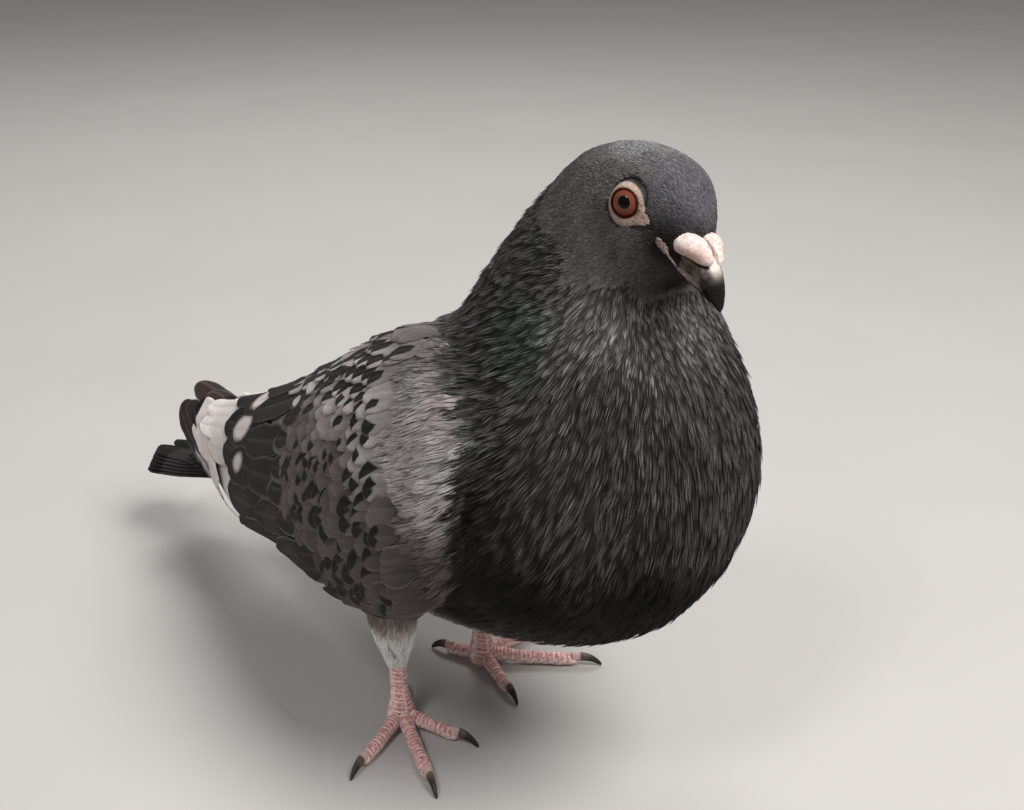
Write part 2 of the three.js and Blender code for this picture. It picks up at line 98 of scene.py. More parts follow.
# ---- the lie of the coat ------------------------------------------------------------------------
# Named places on the right side and the middle of the bird: the place, the way that its feathers
# point, their length and width, how far their tips stand off, the plumage and the piece they are in.
LIE = [
    # name, place, way, length, width, lift, plumage, piece
    ("forehead", (134, -3, 196), (-0.3, 0, 1), 2.6, 0.9, 0.06, "forehead", "head"),
    # The crown's lighter plumage is painted light on the top of the head.
    ("crown", (113, -5, 207), (-1, 0, 0.1), 3.4, 1.0, 0.08, "crown", "head"),
    ("crown_side", (112, -13, 202), (-1, 0, 0), 3.2, 1.0, 0.08, "brow", "head"),
    ("occiput", (95, -3, 202), (-0.8, 0, -0.5), 4.0, 1.1, 0.12, "brow", "head"),
    ("lores", (131, -11, 187), (-0.9, -0.4, 0.1), 2.2, 0.8, 0.06, "lores", "head"),
    ("under_eye", (121, -17, 188), (-0.95, 0, -0.25), 2.8, 0.9, 0.08, "cheek", "head"),
    ("cheek", (115, -18, 182), (-0.8, 0, -0.6), 3.4, 1.0, 0.1, "cheek", "head"),
    ("ear", (103, -19, 190), (-0.9, 0, -0.4), 3.6, 1.1, 0.1, "cheek", "head"),
    # The chin's near black is painted shadow under the bill.
    ("chin", (129, -4, 174), (-0.5, 0, -0.8), 2.8, 1.0, 0.1, "chin", "head"),
    ("throat", (128, -3, 166), (0.1, 0, -1), 4.4, 1.4, 0.3, "throat", "neck"),
    ("throat_side", (118, -19, 168), (-0.45, 0, -0.9), 5.4, 1.7, 0.4, "throat", "neck"),
    ("nape", (79, -6, 189), (-0.6, 0, -0.8), 6.0, 1.9, 0.9, "nape", "neck"),
    ("hind_neck", (65, -6, 170), (-0.6, 0, -0.8), 8.0, 2.4, 1.2, "nape", "neck"),
    ("neck_side", (97, -24, 178), (-0.8, 0, -0.5), 6.0, 1.9, 0.8, "neck", "neck"),
    ("low_neck_side", (87, -38, 152), (-0.78, 0, -0.6), 8.5, 2.5, 1.1, "neck", "neck"),
    ("crop_top", (140, -5, 142), (0.2, 0, -1), 8.0, 2.2, 0.7, "crop", "crop"),
    ("crop_shoulder", (128, -28, 146), (-0.25, 0, -0.95), 8.0, 2.3, 0.8, "crop", "crop"),
    ("crop_front", (145, -6, 115), (0, 0, -1), 10.0, 2.4, 0.6, "crop", "crop"),
    ("crop_corner", (124, -35, 115), (-0.4, 0, -0.9), 10.0, 2.5, 0.7, "crop", "crop"),
    # The crop's side and rear take a darker ink: painted shade on the side turned away from the light.
    ("crop_side", (89, -50, 115), (-0.85, 0, -0.5), 10.0, 2.5, 0.7, "crop_side", "breast"),
    ("crop_rear", (74, -50, 108), (-0.95, 0, -0.25), 10.0, 2.6, 0.8, "crop_side", "breast"),
    # This place and the four below it take the crop's underside ink: painted shade, tinged red.
    ("crop_low", (134, -6, 78), (-0.5, 0, -0.85), 10.0, 2.5, 0.7, "crop_low", "breast"),
    ("crop_under", (139, -20, 92), (-0.3, 0, -0.95), 10.0, 2.5, 0.7, "crop_low", "breast"),
    ("crop_under_side", (112, -41, 92), (-0.65, 0, -0.75), 10.0, 2.5, 0.7, "crop_low", "breast"),
    ("crop_low_side", (84, -45, 80), (-0.8, 0, -0.55), 10.5, 2.6, 0.8, "crop_low", "breast"),
    ("keel", (109, -8, 58), (-0.9, 0, -0.4), 11.0, 2.7, 1.1, "crop_low", "breast"),
    ("mantle", (52, -4, 153), (-0.7, 0, -0.7), 10.0, 4.0, 0.9, "mantle", "back"),
    # The slit's dark grey is painted shadow between the mantle and the wing.
    ("scapular_slit", (46, -17, 148), (-0.8, 0, -0.5), 11.0, 3.6, 0.5, "slit", "back"),
    ("upper_back", (33, -4, 142), (-0.85, 0, -0.5), 11.0, 5.0, 0.9, "mantle", "back"),
    ("back", (2, -4, 118), (-0.93, 0, -0.37), 12.0, 5.5, 0.9, "back", "back"),
    ("rump", (-58, -5, 82), (-0.9, 0, -0.3), 12.0, 5.5, 0.8, "rump", "back"),
    ("tail_base", (-95, -5, 64), (-1, 0, -0.2), 13.0, 5.5, 0.5, "rump", "back"),
    ("belly", (50, -15, 46), (-1, 0, -0.1), 12.0, 4.0, 1.0, "belly", "belly"),
    ("flank", (10, -35, 52), (-1, 0, 0), 13.0, 4.5, 1.0, "belly", "belly"),
    ("vent", (-35, -10, 41), (-1, 0, 0.05), 13.0, 4.5, 0.9, "belly", "belly"),
    ("under_tail", (-90, -6, 37), (-1, 0, -0.05), 13.0, 5.0, 0.5, "belly", "belly"),
]
# Named places on a folded wing: X and the angle above level on its face, then as above.
WING_LIE = [
    # name, x, angle, way, length, width, lift, plumage
    ("rear_coverts", 8, 32, (-0.95, 0, -0.30), 9.0, 5.4, 0.9, "lavender"),
    ("middle_coverts", 36, 20, (-0.92, 0, -0.36), 8.0, 4.8, 0.9, "lavender"),
    # The darker lavender of the wing's lower places is painted shade.
    ("middle_low", 34, -4, (-0.95, 0, -0.20), 10.0, 5.6, 0.9, "lavender_low"),
    ("upper_coverts", 30, 50, (-0.88, 0, -0.46), 9.5, 4.6, 0.9, "scapular"),
    ("scapulars_rear", -6, 64, (-0.90, 0, -0.42), 12.0, 4.8, 0.8, "scapular"),
    ("scapulars", 30, 70, (-0.88, 0, -0.46), 12.0, 4.6, 0.9, "mantle"),
    ("scapulars_front", 58, 62, (-0.86, 0, -0.50), 10.0, 4.0, 0.9, "mantle"),
    ("fore_coverts", 60, 32, (-0.86, 0, -0.50), 9.0, 4.0, 0.8, "wing_front"),
    ("fore_low", 64, 4, (-0.90, 0, -0.42), 9.5, 4.6, 0.8, "lavender"),
    ("wrist", 88, 30, (-0.84, 0, -0.54), 9.5, 3.0, 0.7, "wing_front"),
    ("wrist_low", 90, -4, (-0.88, 0, -0.46), 10.0, 3.4, 0.7, "lavender"),
    ("wrist_under", 84, -28, (-0.92, 0, -0.25), 12.0, 5.0, 0.7, "lavender_low"),
    ("wrist_hem", 78, -42, (-0.95, 0, -0.10), 13.0, 5.0, 0.6, "lavender_low"),
]
# Each leg's feathers point down: its heights as shares of the thigh, and the plumage there, darker at the top
# as painted shade in the folds under the body.
LEG_LIE = [(0.12, "boot"), (0.45, "boot"), (0.75, "boot_fold_shade"), (0.95, "boot_fold_shade")]


def leg_places():
    """The legs' feathering on the front, back and both sides of each thigh."""
    found = []
    for side in SIDES:
        low, high = (np.array(c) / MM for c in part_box(f"thigh_{side}"))
        middle = (low + high) / 2
        for around in range(4):
            out = np.array([math.cos(around * math.pi / 2), math.sin(around * math.pi / 2), 0])
            for height, plumage in LEG_LIE:
                place = middle + out * 6
                place[2] = low[2] + (high[2] - low[2]) * height
                found.append(("leg", tuple(place), (-0.05, 0, -1), 8.0, 1.8, 0.35, plumage, "boot"))
    return found


def both_sides(rows):
    """The places with their mirror images on the bird's left."""
    mirrored = [(r[0], (r[1][0], -r[1][1], r[1][2]), (r[2][0], -r[2][1], r[2][2]), *r[3:]) for r in rows]
    return rows + mirrored


def unit(v):
    return v / np.maximum(np.linalg.norm(v, axis=-1, keepdims=True), 1e-9)


# The neck's gloss: the X and Z of its middle, how far it spreads, and what it adds in two tints.
GLOSS_AT = (92, 160)
GLOSS_SPREAD = (34, 30)
GLOSS_SIDE = 22
GREEN = np.array([-0.08, 0.04, -0.01])
PURPLE = np.array([0.03, -0.08, 0.03])


class Lie:
    """The lie of a family of feathers: what the named places say, blended at any point between them."""

    def __init__(self, rows):
        self.at = np.array([r[1] for r in rows], float)
        self.ways = unit(np.array([r[2] for r in rows], float))
        self.sizes = np.array([r[3:6] for r in rows], float)
        self.inks = np.array([PLUMAGE[r[6]] for r in rows])
        self.pieces = np.array([r[7] for r in rows])

    def weigh(self, points):
        """How much each named place counts at each point."""
        away = np.linalg.norm(points[:, None, :] - self.at[None], axis=2)
        weight = 1 / (away + 2) ** 4
        return weight / weight.sum(axis=1)[:, None]

    def way(self, points):
        return self.weigh(points) @ self.ways

    def size(self, points):
        return self.weigh(points) @ self.sizes

    def piece(self, points):
        """The name of the coat piece that each point belongs to."""
        return self.pieces[self.weigh(points).argmax(axis=1)]

    def colour(self, points):
        """The plumage at each point, the same on the skin and on the feathers."""
        mottle = 1 + 0.10 * ripple(points, 9, 3) + 0.07 * ripple(points, 3.5, 5)
        colour = (self.weigh(points) @ self.inks) * mottle[:, None]
        x, y, z = points.T
        away = ((x - GLOSS_AT[0]) / GLOSS_SPREAD[0]) ** 2 + ((z - GLOSS_AT[1]) / GLOSS_SPREAD[1]) ** 2
        on_neck = np.exp(-away) * np.clip(np.abs(y) / GLOSS_SIDE, 0, 1)
        gloss = ripple(points, 16, 8)
        colour = colour * (1 + (np.clip(gloss, 0, 1) * on_neck)[:, None] * GREEN)
        colour = colour * (1 + (np.clip(-gloss, 0, 1) * on_neck)[:, None] * PURPLE)
        return np.clip(colour, 0.003, 0.9)


def along_surface(way, normal):
    """The part of a direction that runs along the surface."""
    return unit(way - normal * (way * normal).sum(axis=-1, keepdims=True))


def ripple(points, size, seed):
    """Smooth waves of about one unit over the surface, the same at the same place each run."""
    waves = np.random.default_rng(seed).normal(size=(7, 3)) / size
    phase = np.random.default_rng(seed + 1).uniform(0, 6.28, 7)
    return np.sin(points @ waves.T * 2.2 + phase).sum(axis=1) / 2.6


BODY = Lie(both_sides(LIE) + leg_places())


# ---- the stage ----------------------------------------------------------------------------------
VIEW_BACK = Vector((0.6665, -0.6325, 0.3947))
CAMERA_AT = Vector((347, -269, 287)) * MM


def aim(thing, way):
    """Turns a camera or a lamp so that it looks a given way."""
    thing.rotation_euler = way.to_track_quat("-Z", "Y").to_euler()


def set_camera():
    camera = bpy.data.objects.new("camera", bpy.data.cameras.new("camera"))
    camera.data.lens = 50
    camera.data.sensor_width = 36
    camera.data.clip_start = 0.01
    camera.location = CAMERA_AT
    aim(camera, -VIEW_BACK)
    bpy.context.scene.collection.objects.link(camera)
    bpy.context.scene.camera = camera


def set_lamp(name, at, target, size, power, tint):
    lamp = bpy.data.objects.new(name, bpy.data.lights.new(name, "AREA"))
    lamp.data.shape = "DISK"
    lamp.data.size = size
    lamp.data.energy = power
    lamp.data.color = tint
    lamp.location = at
    aim(lamp, Vector(target) - Vector(at))
    bpy.context.scene.collection.objects.link(lamp)


def set_floor():
    floor = bmesh.new()
    bmesh.ops.create_grid(floor, x_segments=1, y_segments=1, size=4)
    mesh = bpy.data.meshes.new("floor")
    floor.to_mesh(mesh)
    floor.free()
    thing = bpy.data.objects.new("floor", mesh)
    bpy.context.scene.collection.objects.link(thing)
    mesh.materials.append(paper_material())


def set_stage():
    """The studio: the camera, three lamps, a soft pale world and a pale floor."""
    set_camera()
    middle = (0.02, 0, 0.11)
    set_lamp("key", (0.72, 0.1, 1.1), middle, 0.6, 19, (1, 0.98, 0.96))
    set_lamp("fill", (0.3, -0.8, 1.15), middle, 0.3, 5.5, (0.98, 0.98, 1))
    set_lamp("rim", (-0.7, 0.5, 1.0), middle, 0.6, 6, (1, 1, 1))
    world = bpy.data.worlds.new("studio")
    world.use_nodes = True
    world.node_tree.nodes["Background"].inputs["Color"].default_value = (0.9, 0.88, 0.86, 1)
    world.node_tree.nodes["Background"].inputs["Strength"].default_value = 0.31
    bpy.context.scene.world = world
    bpy.context.scene.view_settings.view_transform = "Standard"
    set_floor()


# ---- materials ----------------------------------------------------------------------------------
def place_node(tree, kind, sockets=None, **settings):
    """A new node: its settings, then its sockets by name or number, each given a value or a link."""
    node = tree.nodes.new("ShaderNode" + kind)
    for name, value in settings.items():
        setattr(node, name, value)
    for name, value in (sockets or {}).items():
        if isinstance(value, bpy.types.NodeSocket):
            tree.links.new(value, node.inputs[name])
        else:
            node.inputs[name].default_value = value
    return node


def new_material(name, **values):
    """A material with its node tree and its Principled shader, which has the given plain values."""
    material = bpy.data.materials.new(name)
    material.use_nodes = True
    shader = material.node_tree.nodes["Principled BSDF"]
    for socket, value in values.items():
        shader.inputs[socket.replace("_", " ")].default_value = value
    return material, material.node_tree, shader


def mixed(tree, share, first, second):
    """Two colours mixed by a share of the second."""
    return place_node(tree, "Mix", {0: share, 6: first, 7: second}, data_type="RGBA").outputs[2]


def paper_material():
    material, tree, shader = new_material("pale_floor", Roughness=0.85)
    where = place_node(tree, "TexCoord").outputs["Object"]
    grain = place_node(tree, "TexNoise", {"Vector": where, "Scale": 9.0, "Detail": 3.0}).outputs["Fac"]
    tone = place_node(tree, "ValToRGB", {"Fac": grain})
    tone.color_ramp.elements[0].color = (0.42, 0.405, 0.39, 1)
    tone.color_ramp.elements[1].color = (0.46, 0.445, 0.43, 1)
    tree.links.new(tone.outputs["Color"], shader.inputs["Base Color"])
    return material


def coat_material():
    """Loose feather barbs: their colour is the piece's own, with a fine shift."""
    material, tree, shader = new_material("barbs", Roughness=0.55, Specular_IOR_Level=0.1,
                                          Sheen_Weight=0.01, Sheen_Roughness=0.4)
    colour = place_node(tree, "Attribute", attribute_name="plumage").outputs["Color"]
    where = place_node(tree, "TexCoord").outputs["Object"]
    fine = place_node(tree, "TexNoise", {"Vector": where, "Scale": 900.0, "Detail": 2.0}).outputs["Fac"]
    shift = place_node(tree, "MapRange", {"Value": fine, "To Min": 0.8, "To Max": 1.2}).outputs["Result"]
    shade = place_node(tree, "VectorMath", {0: colour, "Scale": shift}, operation="SCALE")
    tree.links.new(shade.outputs["Vector"], shader.inputs["Base Color"])
    return material


# ---- making pieces ------------------------------------------------------------------------------
def finish_piece(name, mesh, material, nodes=(), smooth=True):
    """The mesh as a piece of the bird, with its finish and the nodes that it stands for."""
    piece = bpy.data.objects.new(name, mesh)
    bpy.context.scene.collection.objects.link(piece)
    mesh.materials.clear()
    mesh.materials.append(material)
    mesh.polygons.foreach_set("use_smooth", np.full(len(mesh.polygons), smooth))
    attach(piece, "root")
    if nodes:
        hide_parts(*nodes)
    return piece


def write_plumage(mesh, colours):
    """The plumage's colour at each corner of a mesh."""
    rgba = np.concatenate([colours, np.ones((len(colours), 1))], axis=1)
    layer = mesh.attributes.new("plumage", "FLOAT_COLOR", "POINT")
    layer.data.foreach_set("color", rgba.astype(np.float32).ravel())


def write_masks(mesh, masks):
    """Values at each corner of a mesh, by the names that its finish reads."""
    for name, values in masks.items():
        layer = mesh.attributes.new(name, "FLOAT", "POINT")
        layer.data.foreach_set("value", np.asarray(values, np.float32))


def mesh_of_triangles(name, points, triangles, plumage, bake, masks):
    """A mesh from arrays in millimetres, with its colours, its masks and its place on the bake's map."""
    mesh = bpy.data.meshes.new(name)
    mesh.vertices.add(len(points))
    mesh.vertices.foreach_set("co", (points * MM).astype(np.float32).ravel())
    mesh.loops.add(triangles.size)
    mesh.loops.foreach_set("vertex_index", triangles.astype(np.int32).ravel())
    mesh.polygons.add(len(triangles))
    mesh.polygons.foreach_set("loop_start", np.arange(0, triangles.size, 3, dtype=np.int32))
    mesh.update(calc_edges=True)
    write_plumage(mesh, plumage)
    write_masks(mesh, masks)
    uv = mesh.uv_layers.new(name="OFBake")
    uv.data.foreach_set("uv", bake[triangles.ravel()].astype(np.float32).ravel())
    mesh.validate()
    return mesh


# The unwrap of the skin: how far along the line from bill to tail, and how far round it.
BAKE_LINE = np.array([(140, 190), (112, 190), (98, 170), (92, 140),
                      (80, 105), (30, 82), (-50, 68), (-130, 50)])
BAKE_STEPS = 90
BAKE_OFF = 500
BAKE_PATCH = 0.003
BAKE_RIM = 0.01


def unwrap(points):
    """Each point's place on the unwrap: along the line, and round it from the back's middle."""
    stops = np.linspace(0, len(BAKE_LINE) - 1, BAKE_STEPS)
    line = np.stack([np.interp(stops, range(len(BAKE_LINE)), c) for c in BAKE_LINE.T], axis=1)
    flat = points[:, [0, 2]]
    nearest = np.linalg.norm(flat[:, None] - line[None], axis=2).argmin(axis=1)
    ahead = unit(np.gradient(line, axis=0))[nearest]
    off = flat - line[nearest]
    above = off[:, 0] * -ahead[:, 1] + off[:, 1] * ahead[:, 0]
    round_it = np.arctan2(points[:, 1], -above) / (2 * math.pi) + 0.5
    return np.stack([nearest / (BAKE_STEPS - 1) + (off * ahead).sum(axis=1) / BAKE_OFF, round_it], axis=1)


def patches(roots, local, size=BAKE_PATCH):
    """Each tuft's patch on the bake's map: a small square at its root's place, in the piece's share."""
    at = unwrap(roots)
    low, high = at.min(axis=0), at.max(axis=0)
    at = BAKE_RIM + (1 - 2 * BAKE_RIM) * (at - low) / np.maximum(high - low, 1e-6)
    return at[:, None, :] + (local - 0.5) * size


# ---- the skin -----------------------------------------------------------------------------------
FLESH = ["head", "neck", "crop", "trunk", "rump", "thigh_right", "thigh_left",
         "wing_right_coverts", "wing_left_coverts", "wing_right_secondaries", "wing_left_secondaries"]
SKIN_CELL = 1.3
SKIN_SMOOTHING = 6
COAT_DEPTH = {"head": 0.4, "neck": 1.2, "crop": 1.3, "breast": 1.2, "back": 1.2, "belly": 1.5, "boot": 0.6}
# How dark the skin is under the body's feathers, the wing's and the white patch: painted shade that shows
# between the feathers.
BODY_SHADE, WING_SHADE, CREAM_SHADE = 0.3, 0.55, 0.7
# The wing's dark rear starts at this X, and its white patch at an X that depends on the angle.
BAND_FRONT = -30
BAND_REAR = ([-20, 10, 45], [-58, -72, -80])
BAND_TOP = 45
# Where the breast ends on the wing: X by height.
BREAST_EDGE = [(60, 97), (75, 102), (95, 106), (112, 105), (130, 99), (142, 88), (152, 70), (165, 57)]


def node_surface(names):
    """The surface of some CAD nodes, and the number of the node that each of its faces is from."""
    corners, faces, owners = [], [], []
    for i, name in enumerate(names):
        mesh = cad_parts[name].data
        start = len(corners)
        corners += [(v.co / MM)[:] for v in mesh.vertices]
        faces += [[start + v for v in p.vertices] for p in mesh.polygons]
        owners += [i] * len(mesh.polygons)
    return BVHTree.FromPolygons(corners, faces), owners


def on_the_wing(points):
    """True where the nearest flesh is a wing's, behind the breast's edge."""
    tree, owners = node_surface(FLESH)
    wing = np.array(["wing" in FLESH[owners[tree.find_nearest(p)[2]]] for p in points.tolist()])
    heights, edge = np.array(BREAST_EDGE, float).T
    return wing & (points[:, 0] < np.interp(points[:, 2], heights, edge))


def skin_colour(points):
    """What shows between the feathers: the plumage over the skin, darkened as painted shade."""
    turn = wing_turn(points)
    pale = (points[:, 0] < np.interp(turn, *BAND_REAR)) & (turn < BAND_TOP)
    under_wing = np.where(points[:, :1] < BAND_FRONT, SOOT, WING.colour(points) * WING_SHADE)
    under_wing = np.where(pale[:, None], CREAM * CREAM_SHADE, under_wing)
    return np.where(on_the_wing(points)[:, None], under_wing, BODY.colour(points) * BODY_SHADE)


def make_skin():
    """One closed skin through all the flesh, drawn in from its surface by the depth of the coat."""
    joined = bmesh.new()
    for node in FLESH:
        joined.from_mesh(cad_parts[node].data)
    bmesh.ops.remove_doubles(joined, verts=joined.verts, dist=0.02 * MM)
    mesh = bpy.data.meshes.new("skin")
    joined.to_mesh(mesh)
    joined.free()
    raw = bpy.data.objects.new("skin_raw", mesh)
    bpy.context.scene.collection.objects.link(raw)
    remesh = raw.modifiers.new("remesh", "REMESH")
    remesh.mode = "VOXEL"
    remesh.voxel_size = SKIN_CELL * MM
    smooth = raw.modifiers.new("smooth", "SMOOTH")
    smooth.iterations = SKIN_SMOOTHING
    bpy.context.view_layer.update()
    made = bpy.data.meshes.new_from_object(raw.evaluated_get(bpy.context.evaluated_depsgraph_get()))
    bpy.data.objects.remove(raw)
    count = len(made.vertices)
    points, normals = np.empty(count * 3, np.float32), np.empty(count * 3, np.float32)
    made.vertices.foreach_get("co", points)
    made.vertex_normals.foreach_get("vector", normals)
    points, normals = points.reshape(-1, 3) / MM, normals.reshape(-1, 3)
    depth = BODY.weigh(points) @ np.array([COAT_DEPTH[p] for p in BODY.pieces])
    points = points - normals * depth[:, None]
    made.vertices.foreach_set("co", (points * MM).astype(np.float32).ravel())
    made.update()
    write_plumage(made, skin_colour(points))
    made.name = "skin"
    finish_piece("skin", made, coat_finish, FLESH)
    return made


AROUND = [(i, j, k) for i in (-1, 0, 1) for j in (-1, 0, 1) for k in (-1, 0, 1)]


def crowded(at, room, cell, taken):
    """True where a root already stands closer than the room that a new one needs."""
    x, y, z = at
    for i, j, k in AROUND:
        for other in taken.get((cell[0] + i, cell[1] + j, cell[2] + k), ()):
            if (x - other[0]) ** 2 + (y - other[1]) ** 2 + (z - other[2]) ** 2 < room * room:
                return True
    return False


class Ground:
    """The skin as a surface that feathers grow from and follow."""

    def __init__(self, mesh):
        count = len(mesh.vertices)
        points = np.empty(count * 3, np.float32)
        mesh.vertices.foreach_get("co", points)
        self.points = points.reshape(-1, 3).astype(float) / MM
        mesh.calc_loop_triangles()
        triangles = np.empty(len(mesh.loop_triangles) * 3, np.int32)
        mesh.loop_triangles.foreach_get("vertices", triangles)
        self.triangles = triangles.reshape(-1, 3)
        self.tree = BVHTree.FromPolygons(self.points.tolist(), self.triangles.tolist())
        a, b, c = (self.points[self.triangles[:, i]] for i in range(3))
        cross = np.cross(b - a, c - a)
        self.areas = np.linalg.norm(cross, axis=1) / 2
        corner = np.zeros_like(self.points)
        for i in range(3):
            np.add.at(corner, self.triangles[:, i], cross)
        self.normals = unit(corner)

    def nearest(self, points):
        """The nearest places on the surface, and the smooth normals there."""
        hits = [self.tree.find_nearest(p) for p in points.tolist()]
        found = np.array([h[0][:] for h in hits])
        face = self.triangles[[h[2] for h in hits]]
        a, b, c = (self.points[face[:, i]] for i in range(3))
        v0, v1, v2 = b - a, c - a, found - a
        d00, d01, d11 = (v0 * v0).sum(1), (v0 * v1).sum(1), (v1 * v1).sum(1)
        d20, d21 = (v2 * v0).sum(1), (v2 * v1).sum(1)
        whole = np.maximum(d00 * d11 - d01 * d01, 1e-12)
        v = ((d11 * d20 - d01 * d21) / whole)[:, None]
        w = ((d00 * d21 - d01 * d20) / whole)[:, None]
        n = self.normals
        return found, unit(n[face[:, 0]] * (1 - v - w) + n[face[:, 1]] * v + n[face[:, 2]] * w)

    def scatter(self, spacing, chosen, seed):
        """Evenly strewn roots on the chosen faces; spacing is the distance wanted at each face."""
        draw = np.random.default_rng(seed)
        wanted = self.areas * chosen / spacing**2
        count = int(wanted.sum() * 2.6)
        face = draw.choice(len(self.areas), count, p=wanted / wanted.sum())
        u, v = draw.random(count), draw.random(count)
        over = u + v > 1
        u[over], v[over] = 1 - u[over], 1 - v[over]
        a, b, c = (self.points[self.triangles[face, i]] for i in range(3))
        points = a + (b - a) * u[:, None] + (c - a) * v[:, None]
        room = spacing[face]
        cells = np.floor(points / room.max()).astype(int)
        taken, kept = {}, []
        for i, (at, wide, cell) in enumerate(zip(points.tolist(), room.tolist(), map(tuple, cells.tolist()))):
            if not crowded(at, wide, cell, taken):
                taken.setdefault(cell, []).append(at)
                kept.append(i)
        return points[kept]


# ---- tufts --------------------------------------------------------------------------------------
# A barb is a thin closed blade: its root, three corners round its middle (left, right, ridge), its tip.
BARB_FACES = np.array([(0, 2, 1), (4, 1, 2), (0, 1, 3), (0, 3, 2), (4, 3, 1), (4, 2, 3)])
BARB_CORNERS = 5
BARB_RIDGE = 0.7
PATH_STEPS = 3


def feather_paths(ground, lie, roots, length, swerve, free):
    """Each feather's way over the skin: its places, the skin's normals and its sides, step by step."""
    at, normal = ground.nearest(roots)
    path, normals, sides = [at], [normal], []
    for _ in range(PATH_STEPS):
        way = along_surface(lie.way(at), normal)
        way = unit(way + np.cross(normal, way) * swerve)
        sides.append(np.cross(normal, way))
        ahead = at + way * (length / PATH_STEPS)[:, None]
        at, normal = ground.nearest(ahead)
        path.append(ahead if free else at)
        normals.append(normal)
    sides.append(sides[-1])
    return [np.stack(a, axis=1) for a in (path, normals, sides)]


def on_path(values, t):
    """What a path's steps say at a share of each feather's length."""
    place = np.clip(t * PATH_STEPS, 0, PATH_STEPS - 1e-6)
    low = place.astype(int)
    part = (place - low)[..., None]
    row = np.arange(len(values))[:, None]
    return values[row, low] * (1 - part) + values[row, low + 1] * part


def lay_barbs(draw, look, paths, width, lift):
    """The corners of the barbs, where each is across its feather, and where its corners are along it."""
    path, normals, sides = paths
    each = (len(width), look["barbs"])
    spot = np.tile(np.linspace(-1, 1, look["barbs"]), (len(width), 1)) + draw.normal(0, 0.12, each)
    reach = 1 - look["round"] * spot**2 + draw.uniform(-0.14, 0.05, each)
    start = draw.uniform(0, 0.2, each)
    middle = start + (reach - start) * draw.uniform(0.5, 0.7, each)
    roll = draw.normal(0, look["roll"], each)
    half = (width[:, None] / look["barbs"]) * look["thin"] * draw.uniform(0.75, 1.3, each)
    drift = draw.normal(0, 0.1, each)
    waves = spot * draw.uniform(5, 9, (len(width), 1))
    bunch = -look["clump"] * np.sin(waves + draw.uniform(0, 6, (len(width), 1)))
    corners = []
    for t, spread in ((start, 0.6), (middle, 1.0), (reach, look["point"])):
        centre = on_path(path, t)
        side = unit(on_path(sides, t))
        up = unit(on_path(normals, t))
        rise = 0.1 + lift[:, None] * t**1.4 + draw.uniform(0, 0.14, each)
        across = (spot * spread + (drift + bunch) * t) * width[:, None] / 2
        centre = centre + side * across[..., None] + up * rise[..., None]
        if t is not middle:
            corners.append(centre)
            continue
        flat = side * np.cos(roll)[..., None] + up * np.sin(roll)[..., None]
        ridge = up * np.cos(roll)[..., None] - side * np.sin(roll)[..., None]
        out = half[..., None]
        corners += [centre - flat * out, centre + flat * out, centre + ridge * out * BARB_RIDGE]
    return np.stack(corners, axis=2), spot, np.stack([start, middle, middle, middle, reach], axis=2)


def barb_colours(draw, look, base, spot):
    """The colour of each barb's corners: it shifts by feather and barb, is darker at the feather's sides, and
    runs from a dark root to a lighter tip; the dark sides and root are painted shade between and under the
    feathers.
    """
    count, barbs = spot.shape
    each = 1 + look["patchy"] * draw.uniform(-1, 1, (count, 1, 1))
    streak = np.exp(draw.normal(0, look["streak"], (count, barbs, 1)))
    # Painted shade: the barbs at a feather's sides are darkened for the clefts between feathers.
    streak = streak * (1 - look["cleft_shade"] * np.clip(np.abs(spot), 0, 1) ** 3)[..., None]
    colour = base[:, None, :] * each * streak
    # Painted shade along each barb: dark at the covered root, lighter at the open tip.
    root_shade_tip_light = np.array([look["root"], 0.9, 0.9, 0.9, look["tip"]])
    return np.clip((colour[:, :, None, :] * root_shade_tip_light[None, None, :, None]).reshape(-1, 3), 0.002, 1)


def grow_tufts(ground, lie, name, roots, seed, look):
    """Feathers of loose barbs. Each follows the lie of the coat over the skin from its root to its tip."""
    draw = np.random.default_rng(seed)
    count = len(roots)
    length, width, lift = lie.size(roots).T
    length = length * draw.uniform(0.8, 1.2, count)
    width = width * draw.uniform(0.85, 1.15, count)
    lift = lift * draw.uniform(0.3, 1.7, count)
    swerve = draw.normal(0, look["swerve"], count)[:, None]
    paths = feather_paths(ground, lie, roots, length, swerve, look["free"])
    corners, spot, along = lay_barbs(draw, look, paths, width, lift)
    colours = barb_colours(draw, look, lie.colour(roots), spot)
    barbs = np.arange(spot.size)[:, None, None] * BARB_CORNERS
    triangles = (barbs + BARB_FACES[None]).reshape(-1, 3)
    across = np.broadcast_to((spot[..., None] + 1.3) / 2.6, along.shape)
    local = np.stack([across, along], axis=-1).reshape(count, -1, 2)
    bake = patches(roots, local).reshape(-1, 2)
    mesh = mesh_of_triangles(name, corners.reshape(-1, 3), triangles, colours, bake, {})
    return finish_piece(name, mesh, coat_finish, smooth=False)


BARE_NODES = ("bill_upper", "bill_lower", "wattle_right", "wattle_left")
BARE_GAP = 0.35


def off_the_bare_parts(points):
    """True where feathers may grow: clear of the bill, the wattles and the rings round the eyes."""
    tree, _ = node_surface(BARE_NODES)
    clear = np.array([tree.find_nearest(p)[3] > BARE_GAP for p in points.tolist()])
    for side in SIDES:
        centre, look, ahead, above = eye_axes(side)
        out = points - centre
        across, rise = out @ ahead, out @ above
        angle = np.arctan2(rise, across)
        in_front = 0.3 + 2.2 * np.exp(-(((angle - RING_CORNER["angle"]) / 0.45) ** 2))
        inside = np.hypot(across, rise) < ring_reach(angle) - 0.1 + in_front
        clear &= ~(inside & (out @ look > 0))
    return clear
